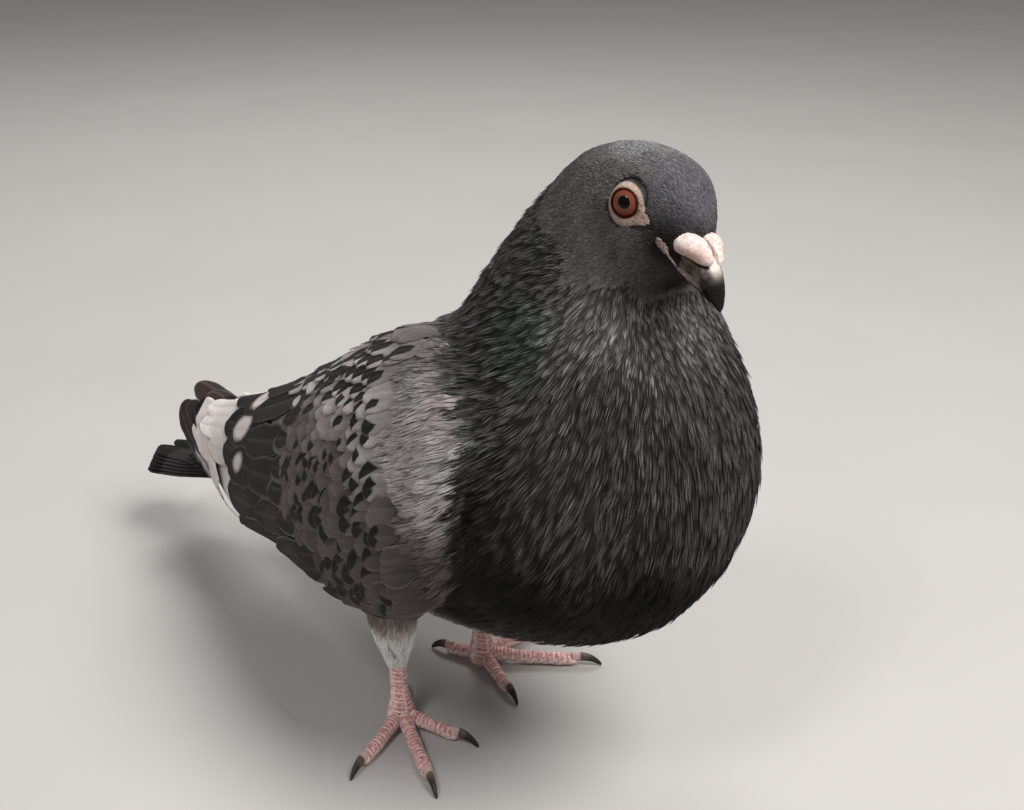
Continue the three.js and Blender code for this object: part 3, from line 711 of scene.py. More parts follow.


# The looks of the coat's pieces: the gap between roots as a share of a feather's size, the barbs of
# each feather and how thin they are, how round and how pointed its end is, how dark its root is, how
# much its colour shifts from feather to feather and from barb to barb, how much barbs roll, how far the
# feather swerves from the lie, how closely its barbs bunch at the end, how dark its sides are, how light
# its tip is, and whether it hangs free past the skin's end. The dark root and the lighter tip are painted
# shade that deepens under the overlapping feathers, and the dark sides are painted shade in the clefts
# between feathers.
PLAIN_LOOK = {"gap": 0.36, "barbs": 9, "thin": 0.75, "round": 0.25, "point": 0.9, "root": 0.4,
              "patchy": 0.1, "streak": 0.28, "roll": 0.5, "swerve": 0.13, "clump": 0.2, "cleft_shade": 0.3,
              "tip": 1.15, "free": False, "slot": "slate_feathers"}
COAT_LOOKS = {
    "head": {"gap": 0.27, "barbs": 3, "thin": 0.8, "root": 0.5, "patchy": 0.08, "streak": 0.2,
             "roll": 0.25, "swerve": 0.07, "clump": 0, "cleft_shade": 0, "tip": 1.1},
    "neck": {"gap": 0.44, "barbs": 16, "thin": 0.8, "root": 0.05, "patchy": 0.4, "streak": 0.36,
             "roll": 0.4, "clump": 0.3, "cleft_shade": 0.8, "slot": "neck_feathers"},
    "crop": {"gap": 0.42, "barbs": 20, "thin": 0.78, "root": 0.05, "patchy": 0.35, "streak": 0.36,
             "swerve": 0.08, "clump": 0.35, "cleft_shade": 0.85, "slot": "neck_feathers"},
    "breast": {"gap": 0.40, "barbs": 19, "thin": 0.75, "root": 0.1, "patchy": 0.25, "streak": 0.34,
               "swerve": 0.08, "clump": 0.3, "cleft_shade": 0.75, "slot": "neck_feathers"},
    "back": {"gap": 0.38, "barbs": 14},
    "belly": {"gap": 0.34, "barbs": 10},
    "boot": {"gap": 0.30, "barbs": 9, "thin": 0.6, "root": 0.95, "patchy": 0.06, "streak": 0.14,
             "swerve": 0.1, "clump": 0.1, "cleft_shade": 0, "free": True, "slot": "white_feathers"},
}
WING_LOOK = {"gap": 0.42, "barbs": 17, "thin": 0.8, "round": 0.3, "root": 0.75, "patchy": 0.08,
             "streak": 0.13, "roll": 0.3, "swerve": 0.08, "clump": 0.12, "cleft_shade": 0.12,
             "slot": "wing_feathers"}
# The legs' feathers have their roots above this height.
BOOT_HEM = 24


def spacing_of(lie, places):
    """How large a feather is at each place, as the side of a square."""
    size = lie.size(places)
    return np.sqrt(size[:, 0] * size[:, 1])


def grow_family(ground, lie, name, chosen, spacing, seed, look):
    """One piece of the coat on each side of the bird."""
    look = {**PLAIN_LOOK, **look}
    roots = ground.scatter(spacing * look["gap"], chosen.astype(float), seed)
    if name == "head":
        roots = roots[off_the_bare_parts(roots)]
    for side, sign in SIDES.items():
        part = roots[roots[:, 1] * sign >= 0]
        grow_tufts(ground, lie, f"{name}_feathers_{side}", part, seed + 20 + (sign > 0), look)


def make_coat(ground):
    """The loose feathers of the body's pieces, and those of the wings' front ends."""
    centres = ground.points[ground.triangles].mean(axis=1)
    on_wing = on_the_wing(centres)
    piece = BODY.piece(centres)
    feathered = ~on_wing & (centres[:, 2] > BOOT_HEM)
    spacing = spacing_of(BODY, centres)
    for i, (name, look) in enumerate(COAT_LOOKS.items()):
        grow_family(ground, BODY, name, (piece == name) & feathered, spacing, 40 + 30 * i, look)
    tufted = on_wing & (centres[:, 0] > np.interp(wing_turn(centres), *COVERT_FRONT) - 5)
    grow_family(ground, WING, "wing_covert", tufted, spacing_of(WING, centres), 300, WING_LOOK)


# ---- vanes --------------------------------------------------------------------------------------
# A vane is a thin closed plate on a grid: rows from root to tip, and columns from edge to edge.
def vane_faces(rows, columns):
    """The triangles of a closed vane: its upper face, its under face and its rim."""
    top = np.arange(rows * columns).reshape(rows, columns)
    under = top + rows * columns
    quads = []
    for r in range(rows - 1):
        for c in range(columns - 1):
            quads.append((top[r, c], top[r, c + 1], top[r + 1, c + 1], top[r + 1, c]))
            quads.append((under[r, c], under[r + 1, c], under[r + 1, c + 1], under[r, c + 1]))
    edge = [*top[0, :], *top[1:, -1], *top[-1, -2::-1], *top[-2:0:-1, 0]]
    for a, b in zip(edge, edge[1:] + edge[:1]):
        quads.append((b, a, a + rows * columns, b + rows * columns))
    quads = np.array(quads)
    return np.concatenate([quads[:, [0, 1, 2]], quads[:, [0, 2, 3]]])


def join_vanes(name, vanes, rows, columns, roots, patch, material, slot, nodes=(), flip=False):
    """Vanes as one piece. Each is a dictionary of grids: its points, ups, inks, marks and its own map."""
    faces = vane_faces(rows, columns)
    if flip:
        faces = faces[:, ::-1]
    each = 2 * rows * columns
    thick = np.stack([v["thick"] for v in vanes])[..., None]
    top = np.stack([v["points"] for v in vanes])
    under = top - np.stack([v["ups"] for v in vanes]) * thick
    points = np.stack([top, under], axis=1).reshape(-1, 3)
    triangles = (np.arange(len(vanes))[:, None, None] * each + faces[None]).reshape(-1, 3)

    def doubled(key):
        values = np.stack([v[key] for v in vanes])
        return np.stack([values, values], axis=1).reshape(-1, *values.shape[3:])

    across = np.linspace(0, 1, columns)[None, :].repeat(rows, 0)
    along = np.linspace(0, 1, rows)[:, None].repeat(columns, 1)
    local = np.stack([across, along], axis=-1).reshape(1, -1, 2).repeat(2, 0).reshape(1, -1, 2)
    bake = patches(roots, local, patch).reshape(-1, 2)
    masks = {key: doubled(key) for key in ("mark", "white", "fringe", "shaft")}
    mesh = mesh_of_triangles(name, points, triangles, doubled("plumage"), bake, masks)
    layer = mesh.uv_layers.new(name="web")
    layer.data.foreach_set("uv", doubled("web")[triangles.ravel()].astype(np.float32).ravel())
    return finish_piece(name, mesh, material, nodes)


def ellipse(u, v, u0, v0, a, b):
    """How far inside an ellipse each place is, in millimetres, and below nought outside it."""
    return (1 - np.sqrt(((u - u0) / a) ** 2 + ((v - v0) / b) ** 2)) * min(a, b)


def vane_material():
    """A feather's web: fine slanting barbs, a pale shaft, dark marks with ragged ends, a thin fringe."""
    material, tree, shader = new_material("webs", Roughness=0.6, Specular_IOR_Level=0.15,
                                          Sheen_Weight=0.01, Sheen_Roughness=0.4)

    def read(name, output="Fac"):
        return place_node(tree, "Attribute", attribute_name=name).outputs[output]

    def ramp(value, low, high):
        node = place_node(tree, "MapRange", {"Value": value, "From Min": low, "From Max": high})
        return node.outputs["Result"]

    def sums(operation, a, b):
        return place_node(tree, "Math", {0: a, 1: b}, operation=operation).outputs[0]

    web = place_node(tree, "UVMap", uv_map="web").outputs["UV"]
    split = place_node(tree, "SeparateXYZ", {0: web})
    out = sums("ABSOLUTE", split.outputs[0], 0.0)
    barb = sums("SUBTRACT", split.outputs[1], sums("MULTIPLY", out, 1.1))
    strands = {0: sums("MULTIPLY", barb, 2.4), 1: sums("MULTIPLY", out, 0.12)}
    lengths = place_node(tree, "CombineXYZ", strands)
    ragged = place_node(tree, "TexNoise", {"Vector": lengths.outputs[0], "Scale": 1.0, "Detail": 3.0})
    ragged = sums("SUBTRACT", ragged.outputs["Fac"], 0.5)
    wave = sums("SINE", sums("MULTIPLY", barb, 13.0), 0.0)
    mark = ramp(sums("ADD", read("mark"), sums("MULTIPLY", ragged, 1.6)), -0.12, 0.22)
    white = ramp(sums("ADD", read("white"), sums("MULTIPLY", ragged, 3.0)), -0.9, 1.3)
    shade = sums("ADD", 1.0, sums("ADD", sums("MULTIPLY", wave, 0.09), sums("MULTIPLY", ragged, 0.9)))
    barbed = {0: read("plumage", "Color"), "Scale": shade}
    ground_ink = place_node(tree, "VectorMath", barbed, operation="SCALE")
    colour = mixed(tree, mark, ground_ink.outputs["Vector"], (*SOOT, 1))
    colour = mixed(tree, white, colour, (*ink("d8cfca"), 1))
    colour = mixed(tree, ramp(read("fringe"), 0.0, 1.0), colour, (*ink("a79c9b"), 1))
    colour = mixed(tree, ramp(read("shaft"), 0.0, 1.0), colour, (*ink("6f6463"), 1))
    tree.links.new(colour, shader.inputs["Base Color"])
    bump = place_node(tree, "Bump", {"Strength": 0.7, "Distance": 0.00015, "Height": wave})
    tree.links.new(bump.outputs["Normal"], shader.inputs["Normal"])
    return material


# ---- the folded wing ----------------------------------------------------------------------------
WING_X = np.arange(-92, 104)
WING_TURN = np.arange(-60, 91)
RAY_FROM = 120


def wing_axis(x):
    """The height of the line that a wing's face is measured from."""
    return 60 + (x + 90) * 0.198


class WingFace:
    """The outer face of a folded wing: how far it is from its axis, by length and by angle above level."""

    def __init__(self, side):
        self.sign = SIDES[side]
        tree, _ = node_surface((f"wing_{side}_coverts", f"wing_{side}_secondaries"))
        self.radius = np.zeros((len(WING_X), len(WING_TURN)))
        self.low, self.high = np.zeros(len(WING_X)), np.zeros(len(WING_X))
        found = []
        for i, x in enumerate(WING_X.tolist()):
            hits = []
            for turn in np.radians(WING_TURN).tolist():
                way = Vector((0, self.sign * math.cos(turn), math.sin(turn)))
                middle = Vector((x, 0, wing_axis(x)))
                hit = tree.ray_cast(middle + way * RAY_FROM, -way, RAY_FROM - 2)
                hits.append(np.nan if hit[0] is None else (hit[0] - middle).length)
            hits = np.array(hits)
            good = ~np.isnan(hits)
            if good.sum() > 8:
                self.radius[i] = np.interp(WING_TURN, WING_TURN[good], hits[good])
                self.low[i], self.high[i] = WING_TURN[good][0], WING_TURN[good][-1]
                found.append(i)
        for i in range(len(WING_X)):
            if i not in found:
                near = min(found, key=lambda k: abs(k - i))
                for row in (self.radius, self.low, self.high):
                    row[i] = row[near]
        kernel = np.ones(5) / 5
        padded = np.pad(self.radius, ((2, 2), (0, 0)), "edge")
        self.radius = np.stack([np.convolve(c, kernel, "valid") for c in padded.T], axis=1)

    def reach(self, x, turn):
        """How far the face is from its axis."""
        fx = np.clip(x - WING_X[0], 0, len(WING_X) - 1.001)
        ft = np.clip(turn - WING_TURN[0], 0, len(WING_TURN) - 1.001)
        i, j = fx.astype(int), ft.astype(int)
        a, b = fx - i, ft - j
        r = self.radius
        return (r[i, j] * (1 - a) * (1 - b) + r[i + 1, j] * a * (1 - b)
                + r[i, j + 1] * (1 - a) * b + r[i + 1, j + 1] * a * b)

    def at(self, x, turn):
        """Places on the face."""
        r = self.reach(x, turn)
        angle = np.radians(turn)
        out, rise = self.sign * r * np.cos(angle), r * np.sin(angle)
        return np.stack([x + 0 * r, out, wing_axis(x) + rise], axis=-1)

    def up(self, x, turn):
        """The way straight off the face."""
        back = self.at(x + 1.5, turn) - self.at(x - 1.5, turn)
        round_it = self.at(x, turn + 2) - self.at(x, turn - 2)
        return unit(np.cross(back, round_it)) * -self.sign

    def edges(self, x):
        """The lowest and the highest angle that the face has."""
        return np.interp(x, WING_X, self.low), np.interp(x, WING_X, self.high)


def wing_turn(points):
    """The angle above level of points on a wing's face, in degrees."""
    return np.degrees(np.arctan2(points[:, 2] - wing_axis(points[:, 0]), np.abs(points[:, 1])))


def wing_lie(faces):
    """The wing's named places on both folded wings."""
    rows = []
    for face in faces.values():
        for name, x, turn, way, *rest in WING_LIE:
            place = face.at(np.array(float(x)), np.array(float(turn)))
            rows.append((name, place, way, *rest, "wing_covert"))
    return Lie(rows)


# The rear edge of the small coverts, and the front edge where loose tufts take over: angles, and the X
# at each.
COVERT_REAR = ([-45, -30, -14, -6, 3, 11, 20, 29, 39, 55, 72], [78, 68, 46, 28, 18, 12, 9, 7, 5, -5, -24])
COVERT_FRONT = ([-45, -20, 0, 15, 30, 45, 60, 75], [72, 76, 72, 66, 56, 54, 52, 46])
# Where small coverts carry dark marks: X and angle of each field, how far it spreads in both, the share
# of feathers that are marked, how far the mark reaches from the tip, and whether it runs down the middle.
MARK_FIELDS = [
    # x, angle, spread x, spread angle, share, depth, streaked
    (62, 15, 13, 11, 0.95, 5.6, 0),
    (32, 8, 13, 9, 0.9, 5.6, 0),
    (18, 20, 14, 11, 0.7, 4.2, 0),
    (46, 26, 12, 8, 0.5, 3.4, 0),
    (56, 33, 11, 8, 0.75, 4.6, 0),
    (30, 54, 28, 11, 0.95, 7.0, 1),
    (-6, 56, 16, 13, 0.95, 7.0, 1),
    (52, 46, 12, 8, 0.6, 5.0, 1),
    (18, 72, 44, 9, 0.85, 8.0, 1),
    (54, -10, 18, 10, 0.85, 6.5, 0),
    (78, -36, 18, 9, 0.8, 9.0, 1),
]


def field_marks(x, turn):
    """The share, the depth and the kind of the dark marks at a place on the wing."""
    best = (0.0, 0.0, 0)
    for x0, a0, rx, ra, part, deep, streak in MARK_FIELDS:
        near = part * math.exp(-(((x - x0) / rx) ** 4) - ((turn - a0) / ra) ** 4)
        if near > best[0]:
            best = (near, deep, streak)
    return best


# Rows of wing feathers from the rear to the wrist: how much of each feather shows, the pitch between
# neighbours, how many times as long as what shows the whole feather is, and the line of their tips as
# angle and X.
WING_ROWS = [
    ("flight", 28, 7.5, 1.5, [(52, -98), (40, -96), (20, -92), (4, -91), (-12, -85), (-26, -77)]),
    ("secondary", 24, 9.0, 1.7, [(62, -76), (30, -75), (10, -73), (-10, -63), (-25, -54), (-45, -45)]),
    ("tertial", 26, 9.0, 1.6, [(75, -64), (60, -68), (43, -68), (23, -66), (10, -64), (-9, -56), (-22, -50),
                               (-45, -40)]),
    ("greater", 32, 9.0, 1.5, [(78, -46), (57, -50), (39, -44), (20, -41), (0, -32), (-10, -22), (-17, -14),
                               (-45, -2)]),
    ("median", 24, 7.4, 1.6, [(76, -14), (55, -11), (33, -11), (20, -9), (9, -5), (0, 1), (-7, 8),
                              (-12, 18), (-45, 30)]),
    ("lesser_1", 17, 7.0, 1.7, [(6, 17), (3, 20), (-6, 27), (-10, 36), (-45, 48)]),
    ("lesser_2", 15, 7.6, 1.7, [(-1, 34), (-8, 44), (-25, 56), (-50, 64)]),
    ("lesser_3", 14, 8.0, 1.6, [(-12, 56), (-25, 68), (-50, 76)]),
]
# The rows and columns of a web's grid, and the look of a wing feather: how dark its root is and what its
# end adds to that, how wide its fringe is, how wide and how pale its shaft is, how far the pattern of its
# barbs is from its neighbour's, its patch on the bake's map. The dark root, lightening towards the end, is
# painted shade under the overlapping feathers.
ROW_LOOK = {"grid": (19, 13), "root": 0.6, "shade_lift": 0.4, "fringe": 0.35, "shaft": (0.3, 0.2),
            "apart": 60.0, "patch": 0.02}
COVERT_LOOK = {"grid": (13, 9), "root": 0.45, "shade_lift": 0.65, "fringe": 0.4, "shaft": (0.25, 0.1),
               "apart": 40.0, "patch": 0.008}
COVERT_ROWS = 18
BLUNT = 0.68
WEB_THICK = 0.12
LAVENDER = PLUMAGE["lavender"]
DUSK = ink("342a2a")
# What a mask holds where there is no mark at all.
NO_MARK = -9.0


def from_the_end(u, v, half, length):
    """How far each place is from the feather's rounded end, along the feather."""
    share = np.clip(np.abs(u) / half.max(), 0, 1)
    return v - (1 - BLUNT) * length * (1 - np.sqrt(1 - share**2))


def teeth(u, inward, wide, depth, draw):
    """One or two dark teeth that stand on the feather's end and point to its root."""
    sides = (1, -1) if draw.random() < 0.25 else (draw.choice([1, -1]),)
    found = np.full(u.shape, NO_MARK)
    for side in sides:
        off = side * draw.uniform(0.12, 0.36) * wide
        deep = depth * draw.uniform(0.8, 1.25)
        slope = deep / (wide * draw.uniform(0.6, 0.9))
        found = np.maximum(found, (deep - inward - slope * np.abs(u - off)) / max(1, slope))
    return found


def web_marks(row, turn, grid, length, draw):
    """A wing feather's ground colour, its dark marks and its white, by its row and its place in it."""
    _, u, v, half = grid
    none = np.full(u.shape, NO_MARK)
    ground_ink, mark, white = LAVENDER, none, none
    chance = draw.random()
    wide = half.max()
    inward = from_the_end(u, v, half, length)
    skew = draw.uniform(-0.2, 0.3) * wide

    def oval(share, reach, ahead):
        return ellipse(u, v, skew, ahead, share * wide, reach)

    if row == "flight":
        ground_ink = CREAM
    elif row == "secondary":
        ground_ink = SOOT
    elif row == "tertial":
        ground_ink = SOOT
        if -6 < turn < 62:
            size = 1.15 - abs(turn - 38) / 80
            white = ellipse(u, v, -0.1 * wide, 12, 4.9 * size, 7.2 * size)
        elif turn <= -6:
            ground_ink = DUSK
            mark = -ellipse(u, v, 0.1 * wide, 13, 0.7 * wide, 9)
    elif row == "greater":
        ground_ink = SOOT
        if turn < -2:
            ground_ink = DUSK
            mark = -ellipse(u, v, 0.15 * wide, 17, 0.8 * wide, 8)
    elif row == "median":
        ground_ink = LAVENDER * 0.85 + DUSK * 0.15
        if turn > 62:
            ground_ink = SOOT
        elif turn > 4 and chance > 0.15:
            mark = oval(draw.uniform(0.65, 0.85), draw.uniform(6, 8.5), 7.5)
        else:
            mark = np.maximum(oval(0.85, 8, 8), teeth(u, inward, wide, 9, draw))
    elif turn > 44:
        mark = oval(draw.uniform(0.6, 0.85), draw.uniform(5.5, 7.5), 6)
    elif chance < 0.8:
        mark = teeth(u, inward, wide, draw.uniform(4, 7.5), draw)
    return ground_ink, mark, white


def wing_vane(face, size, x_tip, turn, length, wide, slope, draw):
    """The web of one wing feather: its shape, its root, and its grid, which is the share of its length that
    each row is from the root, then how far across and from its tip each place is, and its half widths."""
    rows, columns = size
    t = 1 - (1 - np.linspace(0, 1, rows)) ** 1.5
    s = np.linspace(-1, 1, columns)
    blunt = BLUNT + draw.uniform(-0.04, 0.04)
    ends = np.sqrt(np.clip(1 - ((t - blunt) / (1 - blunt)) ** 2, 0.0004, 1))
    shape = np.minimum(1, 0.25 + 1.7 * t) * np.where(t > blunt, ends, 1)
    half = (wide * shape)[:, None] * (1 + 0.03 * np.abs(s)[None] * draw.normal(0, 1, (rows, 1)))
    u = s[None, :] * half
    v = ((1 - t) * length)[:, None] + 0 * u
    x = x_tip + v
    middle = turn + v * slope
    angle = middle - np.degrees(u / face.reach(x, middle))
    up = face.up(x, angle)
    rise = -0.9 + 2.0 * t[:, None] ** 0.9 + 0.2 * s[None, :] - 0.3 * s[None, :] ** 2
    rise = rise + draw.uniform(-0.1, 0.2)
    low, high = face.edges(x)
    rise = rise - 0.22 * np.clip(angle - high + 2, 0, None) - 0.08 * np.clip(low - angle, 0, None)
    root = face.at(np.array([x_tip + length]), np.array([turn + length * slope]))[0]
    points = face.at(x, angle) + up * rise[..., None]
    return {"points": points, "ups": up, "thick": np.full(u.shape, WEB_THICK)}, root, (t, u, v, half)


def dress_web(vane, grid, look, number, tone, marks, pale):
    """The looks of one wing feather: its tone, darkened towards its root by painted shade, its marks, its
    fringe, its shaft and its barbs' pattern.
    """
    t, u, v, half = grid
    edge = np.minimum(half - np.abs(u), v * 0.9)
    wide, strong = look["shaft"]
    # The tone is darkest at the root and lifts towards the tip: painted shade under the feathers that overlap
    # it.
    vane["plumage"] = np.broadcast_to(tone, (*u.shape, 3)) * (look["root"] + look["shade_lift"] * t[:, None, None])
    vane["mark"], vane["white"] = marks
    vane["fringe"] = np.clip(1 - edge / look["fringe"], 0, 1) * pale
    vane["shaft"] = np.clip(1 - np.abs(u) / wide, 0, 1) * strong * (v > 1.5)
    vane["web"] = np.stack([u, v + look["apart"] * number], axis=-1)


def low_shade(turn):
    """How dark the wing's feathers grow towards its lower edge: painted shade."""
    return np.interp(turn, [-40, -5, 20], [0.6, 0.8, 1])


def turn_of(face, pitch, x, turn):
    """The angle that a pitch between feathers takes on the wing's face."""
    return math.degrees(pitch / float(face.reach(np.array(x), np.array(turn))))


def join_wing(name, side, vanes, roots, look):
    """A wing's feathers as one piece."""
    join_vanes(name, vanes, *look["grid"], np.array(roots), look["patch"], web_finish, "wing_feathers",
               flip=side == "left")


def make_wing_vanes(side, face):
    """The feathers of one wing, row over row, each lying on the row behind it."""
    draw = np.random.default_rng(300 + SIDES[side])
    vanes, roots = [], []
    for row, shown, pitch, whole, tips in WING_ROWS:
        turns, xs = np.array(tips[::-1], float).T
        turn = turns[-1] + 6
        while turn > turns[0]:
            x_tip = float(np.interp(turn, turns, xs)) + draw.normal(0, 0.08) * shown
            low, high = face.edges(x_tip)
            step = turn_of(face, pitch, x_tip, turn)
            here = turn + draw.normal(0, 0.1) * step
            turn -= step
            if not low + 2 < here < high - 1:
                continue
            length = shown * whole * draw.uniform(0.94, 1.06)
            slope = 0.11 if here > 15 else 0.11 + (15 - here) * 0.006
            wide = pitch * 0.74 * draw.uniform(0.94, 1.08)
            vane, root, grid = wing_vane(face, ROW_LOOK["grid"], x_tip, here, length, wide, slope, draw)
            ground_ink, *marks = web_marks(row, here, grid, length, draw)
            tone = ground_ink * draw.uniform(0.85, 1.15)
            if ground_ink is not SOOT and ground_ink is not CREAM:
                tone = tone * low_shade(here)
            dress_web(vane, grid, ROW_LOOK, len(vanes), tone, marks, 0.2 if ground_ink is SOOT else 0.35)
            vanes.append(vane)
            roots.append(root)
    join_wing(f"wing_{side}_vanes", side, vanes, roots, ROW_LOOK)


def covert_mark(x, turn, root, grid, wide, length, draw):
    """A small covert's dark mark, if it has one: a streak down its middle, or teeth at its end."""
    _, u, v, half = grid
    share, depth, streaked = field_marks(x, turn)
    share = share * (1 + 0.5 * float(ripple(root[None], 6, 61)[0]))
    if draw.random() < share and streaked:
        deep = depth * draw.uniform(0.8, 1.3)
        return np.minimum(0.62 * wide * (1 - 0.5 * v / deep) - np.abs(u), (deep - v) * 0.6)
    if draw.random() < share:
        return teeth(u, from_the_end(u, v, half, length), wide, depth * draw.uniform(0.8, 1.2), draw)
    return np.full(u.shape, NO_MARK)


def make_small_coverts(side, face):
    """The small soft feathers of the wing's front half: pale webs, each with its own dark marks."""
    draw = np.random.default_rng(500 + SIDES[side])
    vanes, roots = [], []
    for row in range(COVERT_ROWS):
        turn = 80.0
        while turn > -50:
            shown = np.interp(turn, [-40, 0, 25, 60], [8.0, 6.2, 5.0, 7.0])
            pitch = np.interp(turn, [-40, 0, 25, 60], [6.6, 5.8, 4.6, 5.0])
            x_tip = float(np.interp(turn, *COVERT_REAR)) - 7 + row * shown + draw.normal(0, 0.24) * shown
            low, high = face.edges(x_tip)
            step = turn_of(face, pitch, x_tip, turn)
            here = turn + draw.normal(0, 0.22) * step + (row % 2) * step / 2
            turn -= step
            if not low + 2 < here < high - 1 or x_tip > np.interp(here, *COVERT_FRONT):
                continue
            length = shown * 2.1 * draw.uniform(0.9, 1.1)
            wide = pitch * 0.78 * draw.uniform(0.9, 1.1)
            vane, root, grid = wing_vane(face, COVERT_LOOK["grid"], x_tip, here, length, wide, 0.2, draw)
            mark = covert_mark(x_tip + 3, here, root, grid, wide, length, draw)
            place = face.at(np.array([x_tip]), np.array([here]))
            tone = WING.colour(place)[0] * draw.uniform(0.84, 1.16) * low_shade(here)
            marks = (mark, np.full(mark.shape, NO_MARK))
            dress_web(vane, grid, COVERT_LOOK, len(vanes), tone, marks, 0.3)
            vanes.append(vane)
            roots.append(root)
    join_wing(f"wing_{side}_small_coverts", side, vanes, roots, COVERT_LOOK)


# ---- flights and tail ---------------------------------------------------------------------------
BLADE_ROWS, BLADE_COLUMNS = 37, 21


def node_points(node):
    """The corners of a CAD node in millimetres."""
    return np.array([v.co[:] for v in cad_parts[node].data.vertices]) / MM


def outline_at(points, place):
    """The lowest and the highest edge of a flat outline at places along it."""
    flat = sorted(set(map(tuple, np.round(points, 3).tolist())))
    edges = []
    for sign in (1, -1):
        chain = []
        for p in flat:
            while len(chain) > 1:
                (ax, ay), (bx, by) = chain[-2], chain[-1]
                if sign * ((bx - ax) * (p[1] - ay) - (by - ay) * (p[0] - ax)) > 0:
                    break
                chain.pop()
            chain.append(p)
        xs, ys = np.array(chain).T
        edges.append(np.interp(place, xs, ys))
    return edges


# What each kind of long feather looks like: how many there are on a side, how far its root is inside the
# bird, where its shaft runs, how far its edges drop, how long its rounded end is, how many times as wide
# as its solid it is (the first two, the others), its least half width, and how pale its shaft is.
LONG_FEATHERS = {
    "primary": {"count": 4, "extend": 16, "shaft": -0.4, "arch": 0.45, "round": 9.0, "widen": (1.0, 1.25),
                "least": 4.0, "pale": 0.4, "slot": "wing_feathers"},
    "tail": {"count": 6, "extend": 6, "shaft": 0.0, "arch": 1.2, "round": 9.0, "widen": (1.0, 1.0),
             "least": 0.05, "pale": 0.1, "slot": "slate_feathers"},
}
BLADE_THICK = 0.22
# The left wing's tip lies level on the tail: its upper side, its first feather's least half width, and
# how far behind the bird's middle its feathers have begun to turn level and are level.
LEVEL_UP = np.array([0, -0.15, 1])
LEVEL_LEAST = 6.5
LEVEL_FROM, LEVEL_TO = 96, 112


def onto_wing(face, points, lift):
    """Points near a folded wing's face, laid on it where they are in front of its rear edge."""
    x = points[..., 0]
    turn = wing_turn(points.reshape(-1, 3)).reshape(x.shape)
    inside = np.clip(x, -89, None)
    low, high = face.edges(inside)
    over = turn - np.clip(turn, low + 8, high - 6)
    turn = turn - 0.93 * over
    laid = face.at(inside, turn) + face.up(inside, turn) * lift
    share = step_up(x, -93, -86)[..., None]
    return points * (1 - share) + laid * share


def blade_axes(node, kind, sign):
    """A long feather's middle, its way to the tip, its upper side and its outer edge."""
    corners = node_points(node)
    middle = corners.mean(axis=0)
    longest = node_points(node[:-1] + "1")
    way = np.linalg.svd(longest - longest.mean(axis=0), full_matrices=False)[2][0]
    way = way if way[0] < 0 else -way
    outward = np.array([0, 0, 1.0]) if kind == "tail" else np.array([0, sign, 0.2])
    up = np.linalg.svd(corners - middle, full_matrices=False)[2][2]
    up = unit(up - way * (up @ way))
    up = up if up @ outward > 0 else -up
    return middle, way, up, np.cross(up, way) * sign


def blade_outline(flat, look, number, least):
    """The rows of a long feather: the share of its length, the place, the middle and the half width."""
    first, last = flat[:, 0].min(), flat[:, 0].max()
    t = 1 - (1 - np.linspace(0, 1, BLADE_ROWS)) ** 1.7
    start = first - look["extend"]
    place = start + (last - 0.02 - start) * t
    rounded = look["round"]
    low, high = outline_at(flat, np.clip(place, first + 3, last - rounded))
    end = np.sqrt(np.clip(1 - np.clip((place - last + rounded) / rounded, 0, 1) ** 2, 0.0004, 1))
    half = np.maximum((high - low) / 2 * look["widen"][number > 2], least) * end
    return t, place, (low + high) / 2, half, last - start


def blade_marks(kind, number, s, u, v, half, draw):
    """A long feather's ground colour, its dark mark, its white and its pale fringe."""
    none = np.full(u.shape, NO_MARK)
    plain = np.zeros(u.shape)
    if kind == "tail":
        return ink("343031") * draw.uniform(0.9, 1.1), 15 - v, none, plain
    if number > 3:
        return CREAM, none, none, plain
    if number == 3:
        return CREAM, np.maximum(3.2 - v, 0.5 - np.abs(u + 1.5) - (v - 6) * 0.25), none, plain
    tone = ink("332a28") * draw.uniform(0.9, 1.1)
    white = 1.4 - np.abs(s * half + half - 2.0) * 1.2 - np.clip(22 - v, 0, 9)
    edge = np.minimum(half * (1 - np.abs(s)), v)
    return tone, none, white, np.clip(1 - edge / 0.5, 0, 1) * 0.35


def long_vane(node, kind, number, side, face):
    """A long feather in the place of its solid: a crowned web on both sides of a shaft, and its root."""
    look = LONG_FEATHERS[kind]
    sign = SIDES[side]
    levelled = kind == "primary" and side == "left"
    middle, way, up, across = blade_axes(node, kind, sign)
    corners = node_points(node) - middle
    flat = np.stack([corners @ way, corners @ across], axis=1)
    least = LEVEL_LEAST if levelled and number == 1 else look["least"]
    t, place, centre, half, length = blade_outline(flat, look, number, least)
    half = half[:, None]
    s = np.linspace(-1, 1, BLADE_COLUMNS)[None, :]
    draw = np.random.default_rng(700 + number * 7 + sign)
    notch = 1 + 0.012 * draw.normal(0, 1, (BLADE_ROWS, 1)) * np.abs(s) ** 3
    out = centre[:, None] + s * half * notch
    rise = 0.25 - look["arch"] * (s - look["shaft"]) ** 2 * (half / half.max())
    axis = middle + place[:, None, None] * way
    turned = step_up(-axis[..., :1], LEVEL_FROM, LEVEL_TO) * levelled
    level = unit(np.cross(LEVEL_UP, way))
    level = level if level @ across > 0 else -level
    twisted = unit(across * (1 - turned) + level * turned)
    ups = unit(up * (1 - turned) + LEVEL_UP * turned)
    points = axis + out[..., None] * twisted + rise[..., None] * ups
    if kind == "primary":
        points = onto_wing(face, points, 0.1 + 0.12 * number)
    v = (1 - t)[:, None] * length + 0 * s
    u = (s - look["shaft"]) * half
    tone, mark, white, fringe = blade_marks(kind, number, s, u, v, half, draw)
    vane = {
        "points": points, "ups": np.broadcast_to(ups, points.shape), "thick": np.full(u.shape, BLADE_THICK),
        "plumage": np.broadcast_to(tone, points.shape), "mark": mark, "white": white, "fringe": fringe,
        "shaft": np.clip(1 - np.abs(u) / 0.7, 0, 1) * look["pale"],
        "web": np.stack([u, v + 40.0 * number], axis=-1),
    }
    return vane, points[0, BLADE_COLUMNS // 2]


